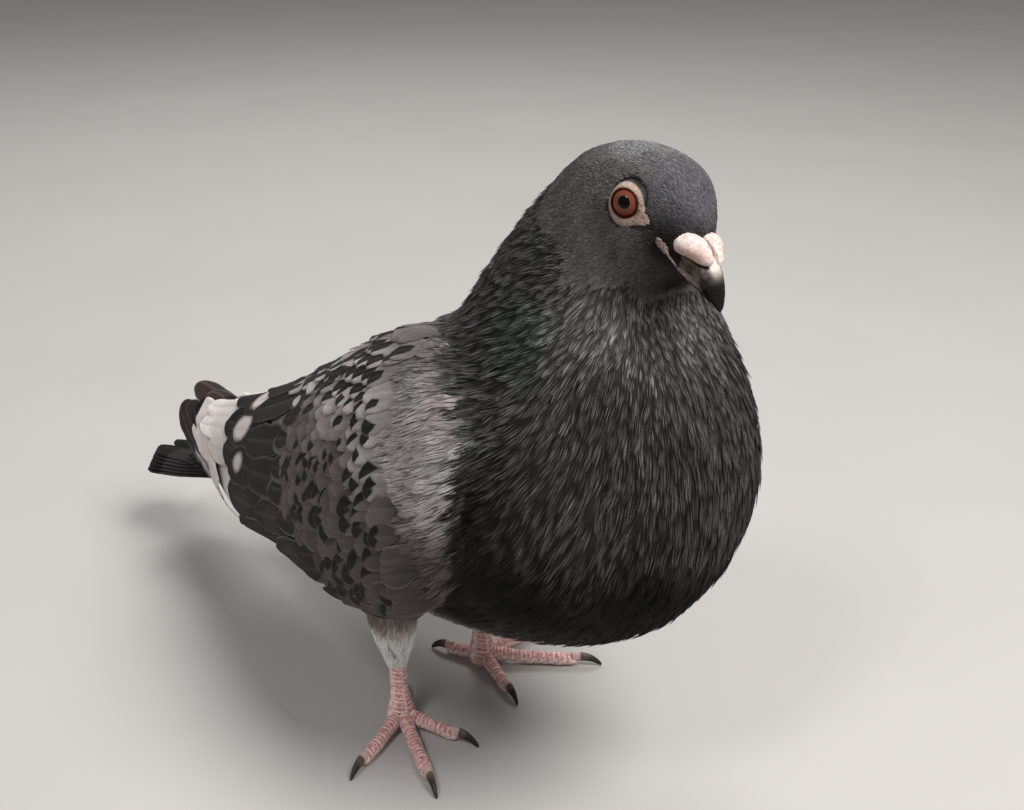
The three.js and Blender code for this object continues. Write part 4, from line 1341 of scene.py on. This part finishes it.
def make_long_feathers(faces):
    """The wing tips' feathers and the tail's, one piece for each, in the place of its solid."""
    for kind, look in LONG_FEATHERS.items():
        for side in SIDES:
            for number in range(1, look["count"] + 1):
                node = f"{kind}_{side}_{number}"
                vane, root = long_vane(node, kind, number, side, faces[side])
                join_vanes(f"{kind}_vane_{side}_{number}", [vane], BLADE_ROWS, BLADE_COLUMNS,
                           np.array([root]), 0.9, web_finish, look["slot"], (node,), flip=side == "right")


# ---- shaping solid pieces -----------------------------------------------------------------------
def rod(name, rounds, rings, caps=True):
    """A closed rod with its corners' places: how far along it, the angle round it, how far from its axis."""
    made = bmesh.new()
    bmesh.ops.create_cone(made, cap_ends=caps, segments=rounds, radius1=1, radius2=1, depth=1)
    lengthwise = [e for e in made.edges if abs(e.verts[0].co.z - e.verts[1].co.z) > 0.5]
    bmesh.ops.subdivide_edges(made, edges=lengthwise, cuts=rings - 1)
    if caps:
        ends = [f for f in made.faces if abs(f.normal.z) > 0.9]
        bmesh.ops.poke(made, faces=ends)
    mesh = bpy.data.meshes.new(name)
    made.to_mesh(mesh)
    made.free()
    at = np.array([v.co[:] for v in mesh.vertices])
    return mesh, at[:, 2] + 0.5, np.arctan2(at[:, 1], at[:, 0]), np.hypot(at[:, 0], at[:, 1])


def formed(mesh, points, **masks):
    """Moves a mesh's corners to their places, turns its faces outwards and writes its masks."""
    mesh.vertices.foreach_set("co", (points * MM).astype(np.float32).ravel())
    mesh.update()
    mesh.calc_loop_triangles()
    corners = np.empty(len(mesh.loop_triangles) * 3, np.int32)
    mesh.loop_triangles.foreach_get("vertices", corners)
    a, b, c = (points[corners.reshape(-1, 3)[:, i]] - points.mean(axis=0) for i in range(3))
    if (np.cross(a, b) * c).sum() < 0:
        mesh.flip_normals()
    write_masks(mesh, masks)
    return mesh


def bend_at(ends, t):
    """Places and directions along a bend through three points."""
    a, b, c = (np.array(p, float) for p in ends)
    t = t[:, None]
    place = a * (1 - t) ** 2 + 2 * b * t * (1 - t) + c * t**2
    return place, unit((b - a) * (1 - t) + (c - b) * t)


def step_up(value, low, high):
    """A smooth step from nought at the low value to one at the high value."""
    share = np.clip((value - low) / (high - low), 0, 1)
    return share * share * (3 - 2 * share)


HEAD_TURN = math.radians(-8)
HEAD_PIVOT = np.array([102.0, 0.0])


def turn_head(points, back=False):
    """Points of the straight head, turned with it to the right."""
    angle = -HEAD_TURN if back else HEAD_TURN
    c, s = math.cos(angle), math.sin(angle)
    turned = points.copy()
    x, y = points[..., 0] - HEAD_PIVOT[0], points[..., 1] - HEAD_PIVOT[1]
    turned[..., 0], turned[..., 1] = x * c - y * s + HEAD_PIVOT[0], x * s + y * c + HEAD_PIVOT[1]
    return turned


# ---- the bill, the wattles and the gape ---------------------------------------------------------
# Each bend is in the straight head's plane: X and Z. The nostrils are a slit on each side.
BILLS = {
    "upper": {"bend": [(127, 0, 183.5), (141.5, 0, 184.5), (144.2, 0, 170.6)],
              "wide": 4.3, "high": 3.5, "deep": 5.9},
    "lower": {"bend": [(129, 0, 180.2), (136.4, 0, 177.6), (142.4, 0, 171.9)],
              "wide": 3.9, "high": 1.2, "deep": 1.7},
}
BILL_TIP = 0.06
NOSTRIL = [(135.6, 4.5, 183.2), (141.0, 2.5, 181.4)]
GAPE = [(131.4, 10.2, 188.2), (132.8, 7.6, 182.6), (137.2, 3.9, 177.2)]
GAPE_SINK = {"right": 0.0, "left": 1.6}
WATTLE = [(131.4, 3.9, 185.4), (136.8, 3.9, 188.4), (141.2, 1.4, 181.8)]
WATTLE_THICKEST = 0.42
# Each wattle's half width and half height, how far it hangs, and the Y of the seam between the two.
LOBES = {"right": (3.5, 2.8, 0.0, -0.9), "left": (2.8, 2.5, 0.9, 1.1)}


def slit_distance(points, ends):
    """How far each point is from the line between two ends, on either side of the head."""
    a, b = (np.array(e, float) for e in ends)
    folded = points.copy()
    folded[:, 1] = np.abs(folded[:, 1])
    share = np.clip(((folded - a) @ (b - a)) / ((b - a) @ (b - a)), 0, 1)
    return np.linalg.norm(folded - a - share[:, None] * (b - a), axis=1)


def make_bill():
    """The two halves of the bill, the upper one with its nostrils and its hooked tip."""
    for half, form in BILLS.items():
        mesh, t, angle, out = rod(f"bill_{half}_horn", 40, 64)
        t = t**0.9
        place, way = bend_at(form["bend"], t)
        side = np.array([0.0, 1.0, 0.0])
        up = np.cross(way, side)
        size = (1 - t**1.7 * (1 - BILL_TIP**2)) ** 0.58 * out
        across, rise = np.cos(angle), np.sin(angle)
        if half == "upper":
            across = across * (1 - 0.2 * np.clip(rise, 0, 1) ** 2)
            rise = np.where(rise > 0, rise * form["high"], -np.abs(rise) ** 0.6 * form["deep"])
        else:
            rise = np.where(rise > 0, rise * form["high"], rise * form["deep"])
        points = place + side * (across * size * form["wide"])[:, None] + up * (rise * size)[:, None]
        slit = slit_distance(points, NOSTRIL)
        hole = step_up(0.9 - slit, 0, 0.7) if half == "upper" else slit * 0
        points[:, 1] -= np.sign(points[:, 1]) * hole * 0.8
        points = points + up * (0.06 * ripple(points, 1.1, 30))[:, None]
        ridge = step_up(np.sin(angle), 0.6, 0.93) * (1 - step_up(t, 0.55, 0.78))
        lip = (1 - step_up(np.abs(np.sin(angle) + 0.75), 0.1, 0.25)) * (1 - step_up(t, 0.5, 0.75)) * 0.7
        floor = step_up(np.sin(angle), 0.1, 0.6) * 0.4 * (1 - t)
        saddle = np.maximum(ridge, lip) if half == "upper" else floor
        mesh = formed(mesh, turn_head(points), tip=step_up(t, 0.58, 0.78), saddle=saddle, hole=hole)
        finish_piece(f"bill_{half}_horn", mesh, horn_finish, (f"bill_{half}",))


def make_wattle(side):
    """One of the two powdery lobes over the bill's root."""
    sign = SIDES[side]
    mesh, t, angle, out = rod(f"wattle_lobe_{side}", 36, 44)
    place, way = bend_at(WATTLE, t)
    across = np.array([0.0, 1.0, 0.0])
    up = np.cross(way, across)
    away = np.where(t > WATTLE_THICKEST, (t - WATTLE_THICKEST) / (1 - WATTLE_THICKEST),
                    1 - t / WATTLE_THICKEST)
    size = np.clip(1 - away**2.3, 0.01, 1) ** 0.5 * out
    wide, high, drop, seam = LOBES[side]
    place[:, 2] -= drop
    points = place + across * (np.cos(angle) * size * wide)[:, None]
    points = points + up * (np.sin(angle) * high * size)[:, None]
    points[:, 1] = np.maximum(points[:, 1], seam + 0.15 * np.abs(np.sin(points[:, 2])))
    grain = 0.07 * ripple(points, 0.6, 34) + 0.12 * ripple(points, 1.6, 36)
    points = points + unit(points - place) * grain[:, None]
    low = step_up(188 - points[:, 2], 0, 4) * step_up(points[:, 1], 1.5, 5) * 0.8
    points[:, 1] *= sign
    mesh = formed(mesh, turn_head(points), low=low)
    finish_piece(f"wattle_lobe_{side}", mesh, wattle_finish, (f"wattle_{side}",))


def make_gape(side):
    """The knobbly pale skin at a corner of the mouth."""
    sign = SIDES[side]
    mesh, t, angle, out = rod(f"gape_{side}", 16, 60)
    place, way = bend_at(GAPE, t)
    across = np.array([0.0, 0.8, 0.6])
    up = unit(np.cross(way, across))
    ends = np.sqrt(np.clip(1 - (2 * t - 1) ** 6, 0.02, 1))
    size = (0.95 - 0.68 * step_up(t, 0.2, 0.42)) * ends * out
    knobs = 1 + 0.4 * np.sin(t * 42) * np.sin(angle * 3 + t * 20)
    points = place + across * (np.cos(angle) * size * knobs)[:, None]
    points = points + up * (np.sin(angle) * size * knobs)[:, None]
    points[:, 1] = points[:, 1] * sign - GAPE_SINK[side]
    mesh = formed(mesh, turn_head(points), low=0.35 * (1 - t))
    finish_piece(f"gape_{side}", mesh, gape_finish)


# ---- the eyes -----------------------------------------------------------------------------------
EYE_RADIUS = 5.4
EYE_OPENING = (3.75, 3.6)
PUPIL_AT = np.array([0.8, 0.65])
RING_OUTER = 5.38
RING_SKIRT = 1.35
SOCKET = 5.5
RING_CORNER = {"angle": math.radians(-30), "reach": 2.9, "width": 0.30}
EYE_SINK = {"right": 0.0, "left": 0.7}
EYE_FORWARD, EYE_UPWARD = 0.34, 0.08
RIM_FROM = 14


def eye_axes(side):
    """An eye's centre, the way that it looks, forwards along the head, and up."""
    low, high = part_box(f"eye_{side}")
    centre = np.array((low + high) / 2) / MM
    pivot = np.array([*HEAD_PIVOT, 0])
    look = unit(turn_head(pivot + [EYE_FORWARD, SIDES[side], EYE_UPWARD]) - pivot)
    centre = centre - look * EYE_SINK[side]
    ahead = unit(np.cross(look, (0, 0, 1)) * SIDES[side])
    return centre, look, ahead, unit(np.cross(ahead, look) * SIDES[side])


def ring_reach(angle):
    """How far the bare ring reaches from the eye's middle: least in front and above, most at its corner."""
    off = (angle - RING_CORNER["angle"]) / RING_CORNER["width"]
    return RING_OUTER - 0.5 * np.cos(angle - 1.15) + RING_CORNER["reach"] * np.exp(-(off**2))


def rim_heights(ground, centre, look, ahead, above, angles):
    """How far out the skin is round an eye's socket, in each direction from the eye's middle."""
    turns = np.linspace(-math.pi, math.pi, 73)
    away = np.maximum(ring_reach(turns), SOCKET) + 0.9
    starts = centre + (np.cos(turns) * away)[:, None] * ahead + (np.sin(turns) * away)[:, None] * above
    hits = [ground.tree.ray_cast(Vector(p), Vector(-look)) for p in starts + look * RIM_FROM]
    heights = np.array([np.nan if h[0] is None else RIM_FROM - h[3] for h in hits])
    heights = np.where(np.isnan(heights), np.nanmedian(heights), heights)
    closed = np.concatenate([heights[-5:-1], heights, heights[1:5]])
    return np.interp(angles, turns, np.convolve(closed, np.ones(5) / 5, "same")[4:-4])


def make_eyeball(side):
    """The ball of an eye, with a bulging front and the iris's own distances from the pupil."""
    centre, look, ahead, above = eye_axes(side)
    ball = bmesh.new()
    bmesh.ops.create_uvsphere(ball, u_segments=80, v_segments=56, radius=1)
    mesh = bpy.data.meshes.new(f"eyeball_{side}")
    ball.to_mesh(mesh)
    ball.free()
    at = np.array([v.co[:] for v in mesh.vertices])
    polar = np.arccos(np.clip(at[:, 2], -1, 1))
    radius = EYE_RADIUS - 0.1 + 0.5 * np.exp(-((polar / 0.55) ** 4))
    points = centre + (at[:, :1] * ahead + at[:, 1:2] * above + at[:, 2:] * look) * radius[:, None]
    iris = at[:, :2] * EYE_RADIUS
    out = np.hypot(iris[:, 0], iris[:, 1])
    iris = iris - PUPIL_AT * (1 - np.clip(out / EYE_OPENING[0], 0, 1) ** 2)[:, None]
    away = np.where(polar < 1.5, np.hypot(iris[:, 0], iris[:, 1]), 9)
    mesh = formed(mesh, points, away=away, ray=np.arctan2(at[:, 1], at[:, 0]))
    finish_piece(f"eyeball_{side}", mesh, eye_finish, (f"eye_{side}",))


def make_eye_ring(ground, side):
    """The beaded bare ring round an eye, and its skirt that dips under the feathers, painted near black as
    shade.
    """
    centre, look, ahead, above = eye_axes(side)
    mesh, t, angle, _ = rod(f"eye_ring_{side}", 240, 36, caps=False)
    inner = np.hypot(EYE_OPENING[0] * np.cos(angle), EYE_OPENING[1] * np.sin(angle))
    t = t * RING_SKIRT
    away = inner + (np.maximum(ring_reach(angle), SOCKET) - inner) * t
    spot = centre + (np.cos(angle) * away)[:, None] * ahead + (np.sin(angle) * away)[:, None] * above
    outer = rim_heights(ground, centre, look, ahead, above, angle)
    shelf = np.sqrt(EYE_RADIUS**2 - inner**2) + 0.2
    swell = 0.35 * np.sin(math.pi * np.clip(t, 0, 1))
    height = shelf + (outer - shelf) * step_up(t / RING_SKIRT, 0, 1) + swell
    beads = np.cos(angle * 41 + 3 * np.sin(t * 11)) * np.cos(t * 27 + 2.5 * np.sin(angle * 13))
    beads = step_up(beads, -0.5, 0.8) * step_up(t, 0.1, 0.3) * (1 - step_up(t, 0.9, 1.0))
    height = height + 0.14 * beads
    height = np.where(t < 0.02, height - 0.5, height) - 0.5 * step_up(t, 1.2, RING_SKIRT)
    # The skirt mask paints the ring near black where it passes under the feathers: painted shade.
    mesh = formed(mesh, spot + height[:, None] * look, bead=beads, lid=1 - step_up(t, 0.03, 0.16),
                  skirt=step_up(away - ring_reach(angle), -0.15, 0.25))
    piece = finish_piece(f"eye_ring_{side}", mesh, ring_finish, (f"eye_rim_{side}",))
    shell = piece.modifiers.new("wall", "SOLIDIFY")
    shell.thickness = 0.35 * MM
    shell.offset = -1


def make_eyes(ground):
    """Both eyes, each with its ring."""
    for side in SIDES:
        make_eyeball(side)
        make_eye_ring(ground, side)


# ---- the feet -----------------------------------------------------------------------------------
TOES = ("inner", "middle", "outer", "hind")
SCUTE = 1.55
TOE_HIGH = 2.3
FOOT_TOP = 4.5


def foot_middle(side):
    """The place on the floor that a foot's toes spread from."""
    low = node_points(f"tarsus_{side}")
    low = low[low[:, 2] < FOOT_TOP]
    return np.array([*((low.min(axis=0) + low.max(axis=0)) / 2)[:2], 0])


def scutes(distance, upward):
    """How high the bowed plates on a toe stand, and how pale they are at their ends."""
    bowed = distance + 0.7 * upward + 0.16 * np.sin(distance * 2.3 + upward * 4)
    part = (bowed / SCUTE) % 1
    plate = step_up(upward, 0.05, 0.4)
    stand = (part**0.7 - step_up(part, 0.86, 1)) * plate
    return stand, step_up(part, 0.78, 0.9) * (1 - step_up(part, 0.96, 1)) * plate * 0.85


def pale_sides(points, upward, seed):
    """The fine pale grains of skin between the plates."""
    return (0.5 + 0.35 * ripple(points, 0.45, seed)) * (1 - step_up(upward, 0.1, 0.55))


def make_toe(side, toe):
    """A toe with its plates and pads, and the claw at its end."""
    start = foot_middle(side)
    claw = node_points(f"claw_{side}_{toe}")
    heading = claw.mean(axis=0) - start
    heading[2] = 0
    heading = unit(heading)
    reach = (claw - start) @ heading
    end, length = reach.min() + 2.0, reach.max()
    across = np.array([-heading[1], heading[0], 0])
    mesh, t, angle, out = rod(f"toe_{side}_{toe}_scales", 28, 110)
    ends = [start + [0, 0, 5], start + heading * end * 0.35 + [0, 0, TOE_HIGH],
            start + heading * end + [0, 0, TOE_HIGH]]
    place, way = bend_at(ends, t)
    up = unit(np.cross(way, across))
    distance = t * end
    stand, edge = scutes(distance, np.sin(angle))
    radius = 2.35 - 0.35 * t + 0.12 * np.cos(distance * 2 * math.pi / 9.5)
    tip = np.sqrt(np.clip(1 - np.clip((t - 0.93) / 0.07, 0, 1) ** 2, 0.15, 1))
    radius = (radius + 0.2 * stand) * tip * out
    pads = 0.25 * np.clip(np.cos(distance * 2 * math.pi / 4.8), 0, 1) * step_up(-np.sin(angle), 0.2, 0.8)
    points = place + across * (np.cos(angle) * radius)[:, None]
    points = points + up * (np.sin(angle) * (radius + pads))[:, None]
    grain = 0.06 * ripple(points, 0.6, 44) * (1 - step_up(np.sin(angle), 0.1, 0.5))
    points = points + unit(points - place) * grain[:, None]
    points[:, 2] = np.maximum(points[:, 2], 0)
    mesh = formed(mesh, points, edge=np.maximum(edge, pale_sides(points, np.sin(angle), 45)))
    finish_piece(f"toe_{side}_{toe}_scales", mesh, scale_finish, (f"toe_{side}_{toe}",))

    mesh, t, angle, out = rod(f"claw_{side}_{toe}_horn", 20, 40)
    root = end - 2.2
    bend = root + (length - root) * 0.62
    ends = [start + heading * root + [0, 0, 3.1], start + heading * bend + [0, 0, 4.4],
            start + heading * length + [0, 0, 0.35]]
    place, way = bend_at(ends, t)
    up = unit(np.cross(way, across))
    radius = (1.55 * (1 - t) ** 0.6 + 0.3) * out
    groove = 1 - 0.35 * step_up(-np.sin(angle), 0.6, 1)
    points = place + across * (np.cos(angle) * radius * 0.8)[:, None]
    points = points + up * (np.sin(angle) * radius * 1.15 * groove)[:, None]
    points[:, 2] = np.maximum(points[:, 2], 0.02)
    mesh = formed(mesh, points, tip=step_up(t, 0.3, 0.6) * 0.8, saddle=1 - step_up(t, 0.2, 0.27))
    finish_piece(f"claw_{side}_{toe}_horn", mesh, claw_finish, (f"claw_{side}_{toe}",))


def make_shank(side):
    """The bare shank: broad plates in front, small ones behind, spreading into the foot."""
    corners = node_points(f"tarsus_{side}")
    high = corners[:, 2].max() + 5
    foot = foot_middle(side)
    top = corners[corners[:, 2] > 20]
    top = (top.min(axis=0) + top.max(axis=0)) / 2
    lean = (top - foot) / 21
    mesh, t, angle, out = rod(f"shank_{side}_scales", 32, 120)
    z = t * high
    radius = np.interp(z, [0, 1.4, 4, 7, 10, 14, 18, 22, 26], [3.4, 4.5, 4.9, 4.2, 3.5, 2.85, 2.85, 3.0, 3.2])
    forward = np.cos(angle)
    stagger = np.where(np.sin(angle) > -0.15, 0, SCUTE / 2)
    stand, edge = scutes(z + stagger - 2, forward)
    edge = np.maximum(edge, 0.7 * (1 - step_up(np.abs(np.sin(angle) + 0.15), 0.02, 0.09)) * (forward > 0))
    hind, hind_edge = scutes(z * 1.3 + 0.8, -forward)
    radius = (radius + 0.22 * stand + 0.12 * hind) * out
    points = np.stack([foot[0] + lean[0] * z + np.cos(angle) * radius,
                       foot[1] + lean[1] * z + np.sin(angle) * radius, z], axis=1)
    points[:, :2] += (0.05 * ripple(points, 0.7, 47))[:, None] * np.stack([np.cos(angle), np.sin(angle)], 1)
    edge = np.maximum(edge, hind_edge * 0.6)
    mesh = formed(mesh, points, edge=np.maximum(edge, pale_sides(points, forward, 46) * (forward > -0.3)))
    finish_piece(f"shank_{side}_scales", mesh, scale_finish, (f"tarsus_{side}",))


def make_feet():
    """Both bare shanks with their toes."""
    for side in SIDES:
        make_shank(side)
        for toe in TOES:
            make_toe(side, toe)


# ---- materials of the bare parts ----------------------------------------------------------------
def mottle_group():
    """The mottling that the bare parts share: broad spots and fine grains, at a given scale."""
    group = bpy.data.node_groups.new("mottle", "ShaderNodeTree")
    group.interface.new_socket("Scale", in_out="INPUT", socket_type="NodeSocketFloat")
    group.interface.new_socket("Spots", in_out="OUTPUT", socket_type="NodeSocketFloat")
    group.interface.new_socket("Grains", in_out="OUTPUT", socket_type="NodeSocketFloat")
    scale = group.nodes.new("NodeGroupInput").outputs["Scale"]
    ends = group.nodes.new("NodeGroupOutput")
    where = place_node(group, "TexCoord").outputs["Object"]
    noise = place_node(group, "TexNoise", {"Vector": where, "Scale": scale, "Detail": 5.0}).outputs["Fac"]
    spots = place_node(group, "MapRange", {"Value": noise, "From Min": 0.35, "From Max": 0.65})
    finer = place_node(group, "Math", {0: scale, 1: 2.5}, operation="MULTIPLY").outputs[0]
    grains = place_node(group, "TexNoise", {"Vector": where, "Scale": finer, "Detail": 4.0})
    group.links.new(spots.outputs["Result"], ends.inputs["Spots"])
    group.links.new(grains.outputs["Fac"], ends.inputs["Grains"])
    return group


def bare_material(name, layers, grain, bump, **values):
    """A mottled skin or horn: two inks mixed by its spots, then one more ink laid on by each mask."""
    material, tree, shader = new_material(name, Specular_IOR_Level=0.25, **values)
    shared = place_node(tree, "Group", {"Scale": grain}, node_tree=mottle)
    colour = mixed(tree, shared.outputs["Spots"], (*ink(layers[0]), 1), (*ink(layers[1]), 1))
    for mask, code in layers[2:]:
        share = place_node(tree, "Attribute", attribute_name=mask).outputs["Fac"]
        colour = mixed(tree, share, colour, (*ink(code), 1))
    tree.links.new(colour, shader.inputs["Base Color"])
    stipple = {"Strength": bump, "Distance": 0.0002, "Height": shared.outputs["Grains"]}
    rough = place_node(tree, "Bump", stipple)
    tree.links.new(rough.outputs["Normal"], shader.inputs["Normal"])
    return material


# The iris from its middle outwards, as shares of 5 mm: pupil, light ring, brown, dark red, black.
IRIS_STOPS = [(0.0, "020101"), (0.31, "020101"), (0.335, "6e4432"), (0.39, "5f3323"), (0.5, "693624"),
              (0.6, "62291a"), (0.66, "45140d"), (0.72, "2e0a07"), (0.78, "110605")]


def eye_material():
    """The iris: a black pupil, a thin light ring, orange brown with fine rays, and a dark red rim."""
    material, tree, shader = new_material("iris", Roughness=0.3, Specular_IOR_Level=0.05,
                                          Coat_Weight=1.0, Coat_Roughness=0.03, Coat_IOR=1.22)
    away = place_node(tree, "Attribute", attribute_name="away").outputs["Fac"]
    ray = place_node(tree, "Attribute", attribute_name="ray").outputs["Fac"]
    spread = place_node(tree, "Math", {0: ray, 1: 9.0}, operation="MULTIPLY").outputs[0]
    where = place_node(tree, "CombineXYZ", {0: spread, 1: away}).outputs[0]
    noise = place_node(tree, "TexNoise", {"Vector": where, "Scale": 2.2, "Detail": 3.0}).outputs["Fac"]
    shift = place_node(tree, "MapRange", {"Value": noise, "To Min": -0.16, "To Max": 0.16}).outputs["Result"]
    place = place_node(tree, "Math", {0: away, 1: shift}, operation="ADD").outputs[0]
    share = place_node(tree, "MapRange", {"Value": place, "From Max": 5.0}).outputs["Result"]
    ramp = place_node(tree, "ValToRGB", {"Fac": share})
    ramp.color_ramp.elements[1].position = IRIS_STOPS[1][0]
    for i, (at, code) in enumerate(IRIS_STOPS):
        element = ramp.color_ramp.elements[i] if i < 2 else ramp.color_ramp.elements.new(at)
        element.position = at
        element.color = (*ink(code), 1)
    tree.links.new(ramp.outputs["Color"], shader.inputs["Base Color"])
    return material


# ---- the bird -----------------------------------------------------------------------------------
set_stage()
wing_faces = {side: WingFace(side) for side in SIDES}
WING = wing_lie(wing_faces)
coat_finish = coat_material()
web_finish = vane_material()
mottle = mottle_group()
horn_finish = bare_material(
    "horn", ["1d1715", "6a5c53", ("saddle", "cfc4be"), ("tip", "070505"), ("hole", "130908")],
    520.0, 0.5, Roughness=0.48)
claw_finish = bare_material(
    "claw_horn", ["6b5e57", "433a35", ("tip", "1d1816"), ("saddle", "c7aba3")], 500.0, 0.3, Roughness=0.4)
wattle_finish = bare_material(
    "powdery_wattle", ["ddd2cb", "c4aaa1", ("low", "a98880")], 1100.0, 1.0, Roughness=0.9)
gape_finish = bare_material(
    "mouth_corner", ["3f332f", "9c8981", ("low", "84736b")], 1500.0, 1.0, Roughness=0.8)
# The eye ring's skirt ink is painted shade under the feathers' edge.
ring_finish = bare_material(
    "eye_ring_skin", ["6d574c", "86705f", ("bead", "a8958a"), ("lid", "3a1d12"), ("skirt", "0a0808")],
    800.0, 0.4, Roughness=0.6)
scale_finish = bare_material(
    "foot_scales", ["e6aea8", "ae7674", ("edge", "fff2ee")], 700.0, 0.4, Roughness=0.55)
eye_finish = eye_material()
ground = Ground(make_skin())
make_coat(ground)
for side, face in wing_faces.items():
    make_wing_vanes(side, face)
    make_small_coverts(side, face)
make_long_feathers(wing_faces)
make_bill()
for side in SIDES:
    make_wattle(side)
    make_gape(side)
make_eyes(ground)
make_feet()
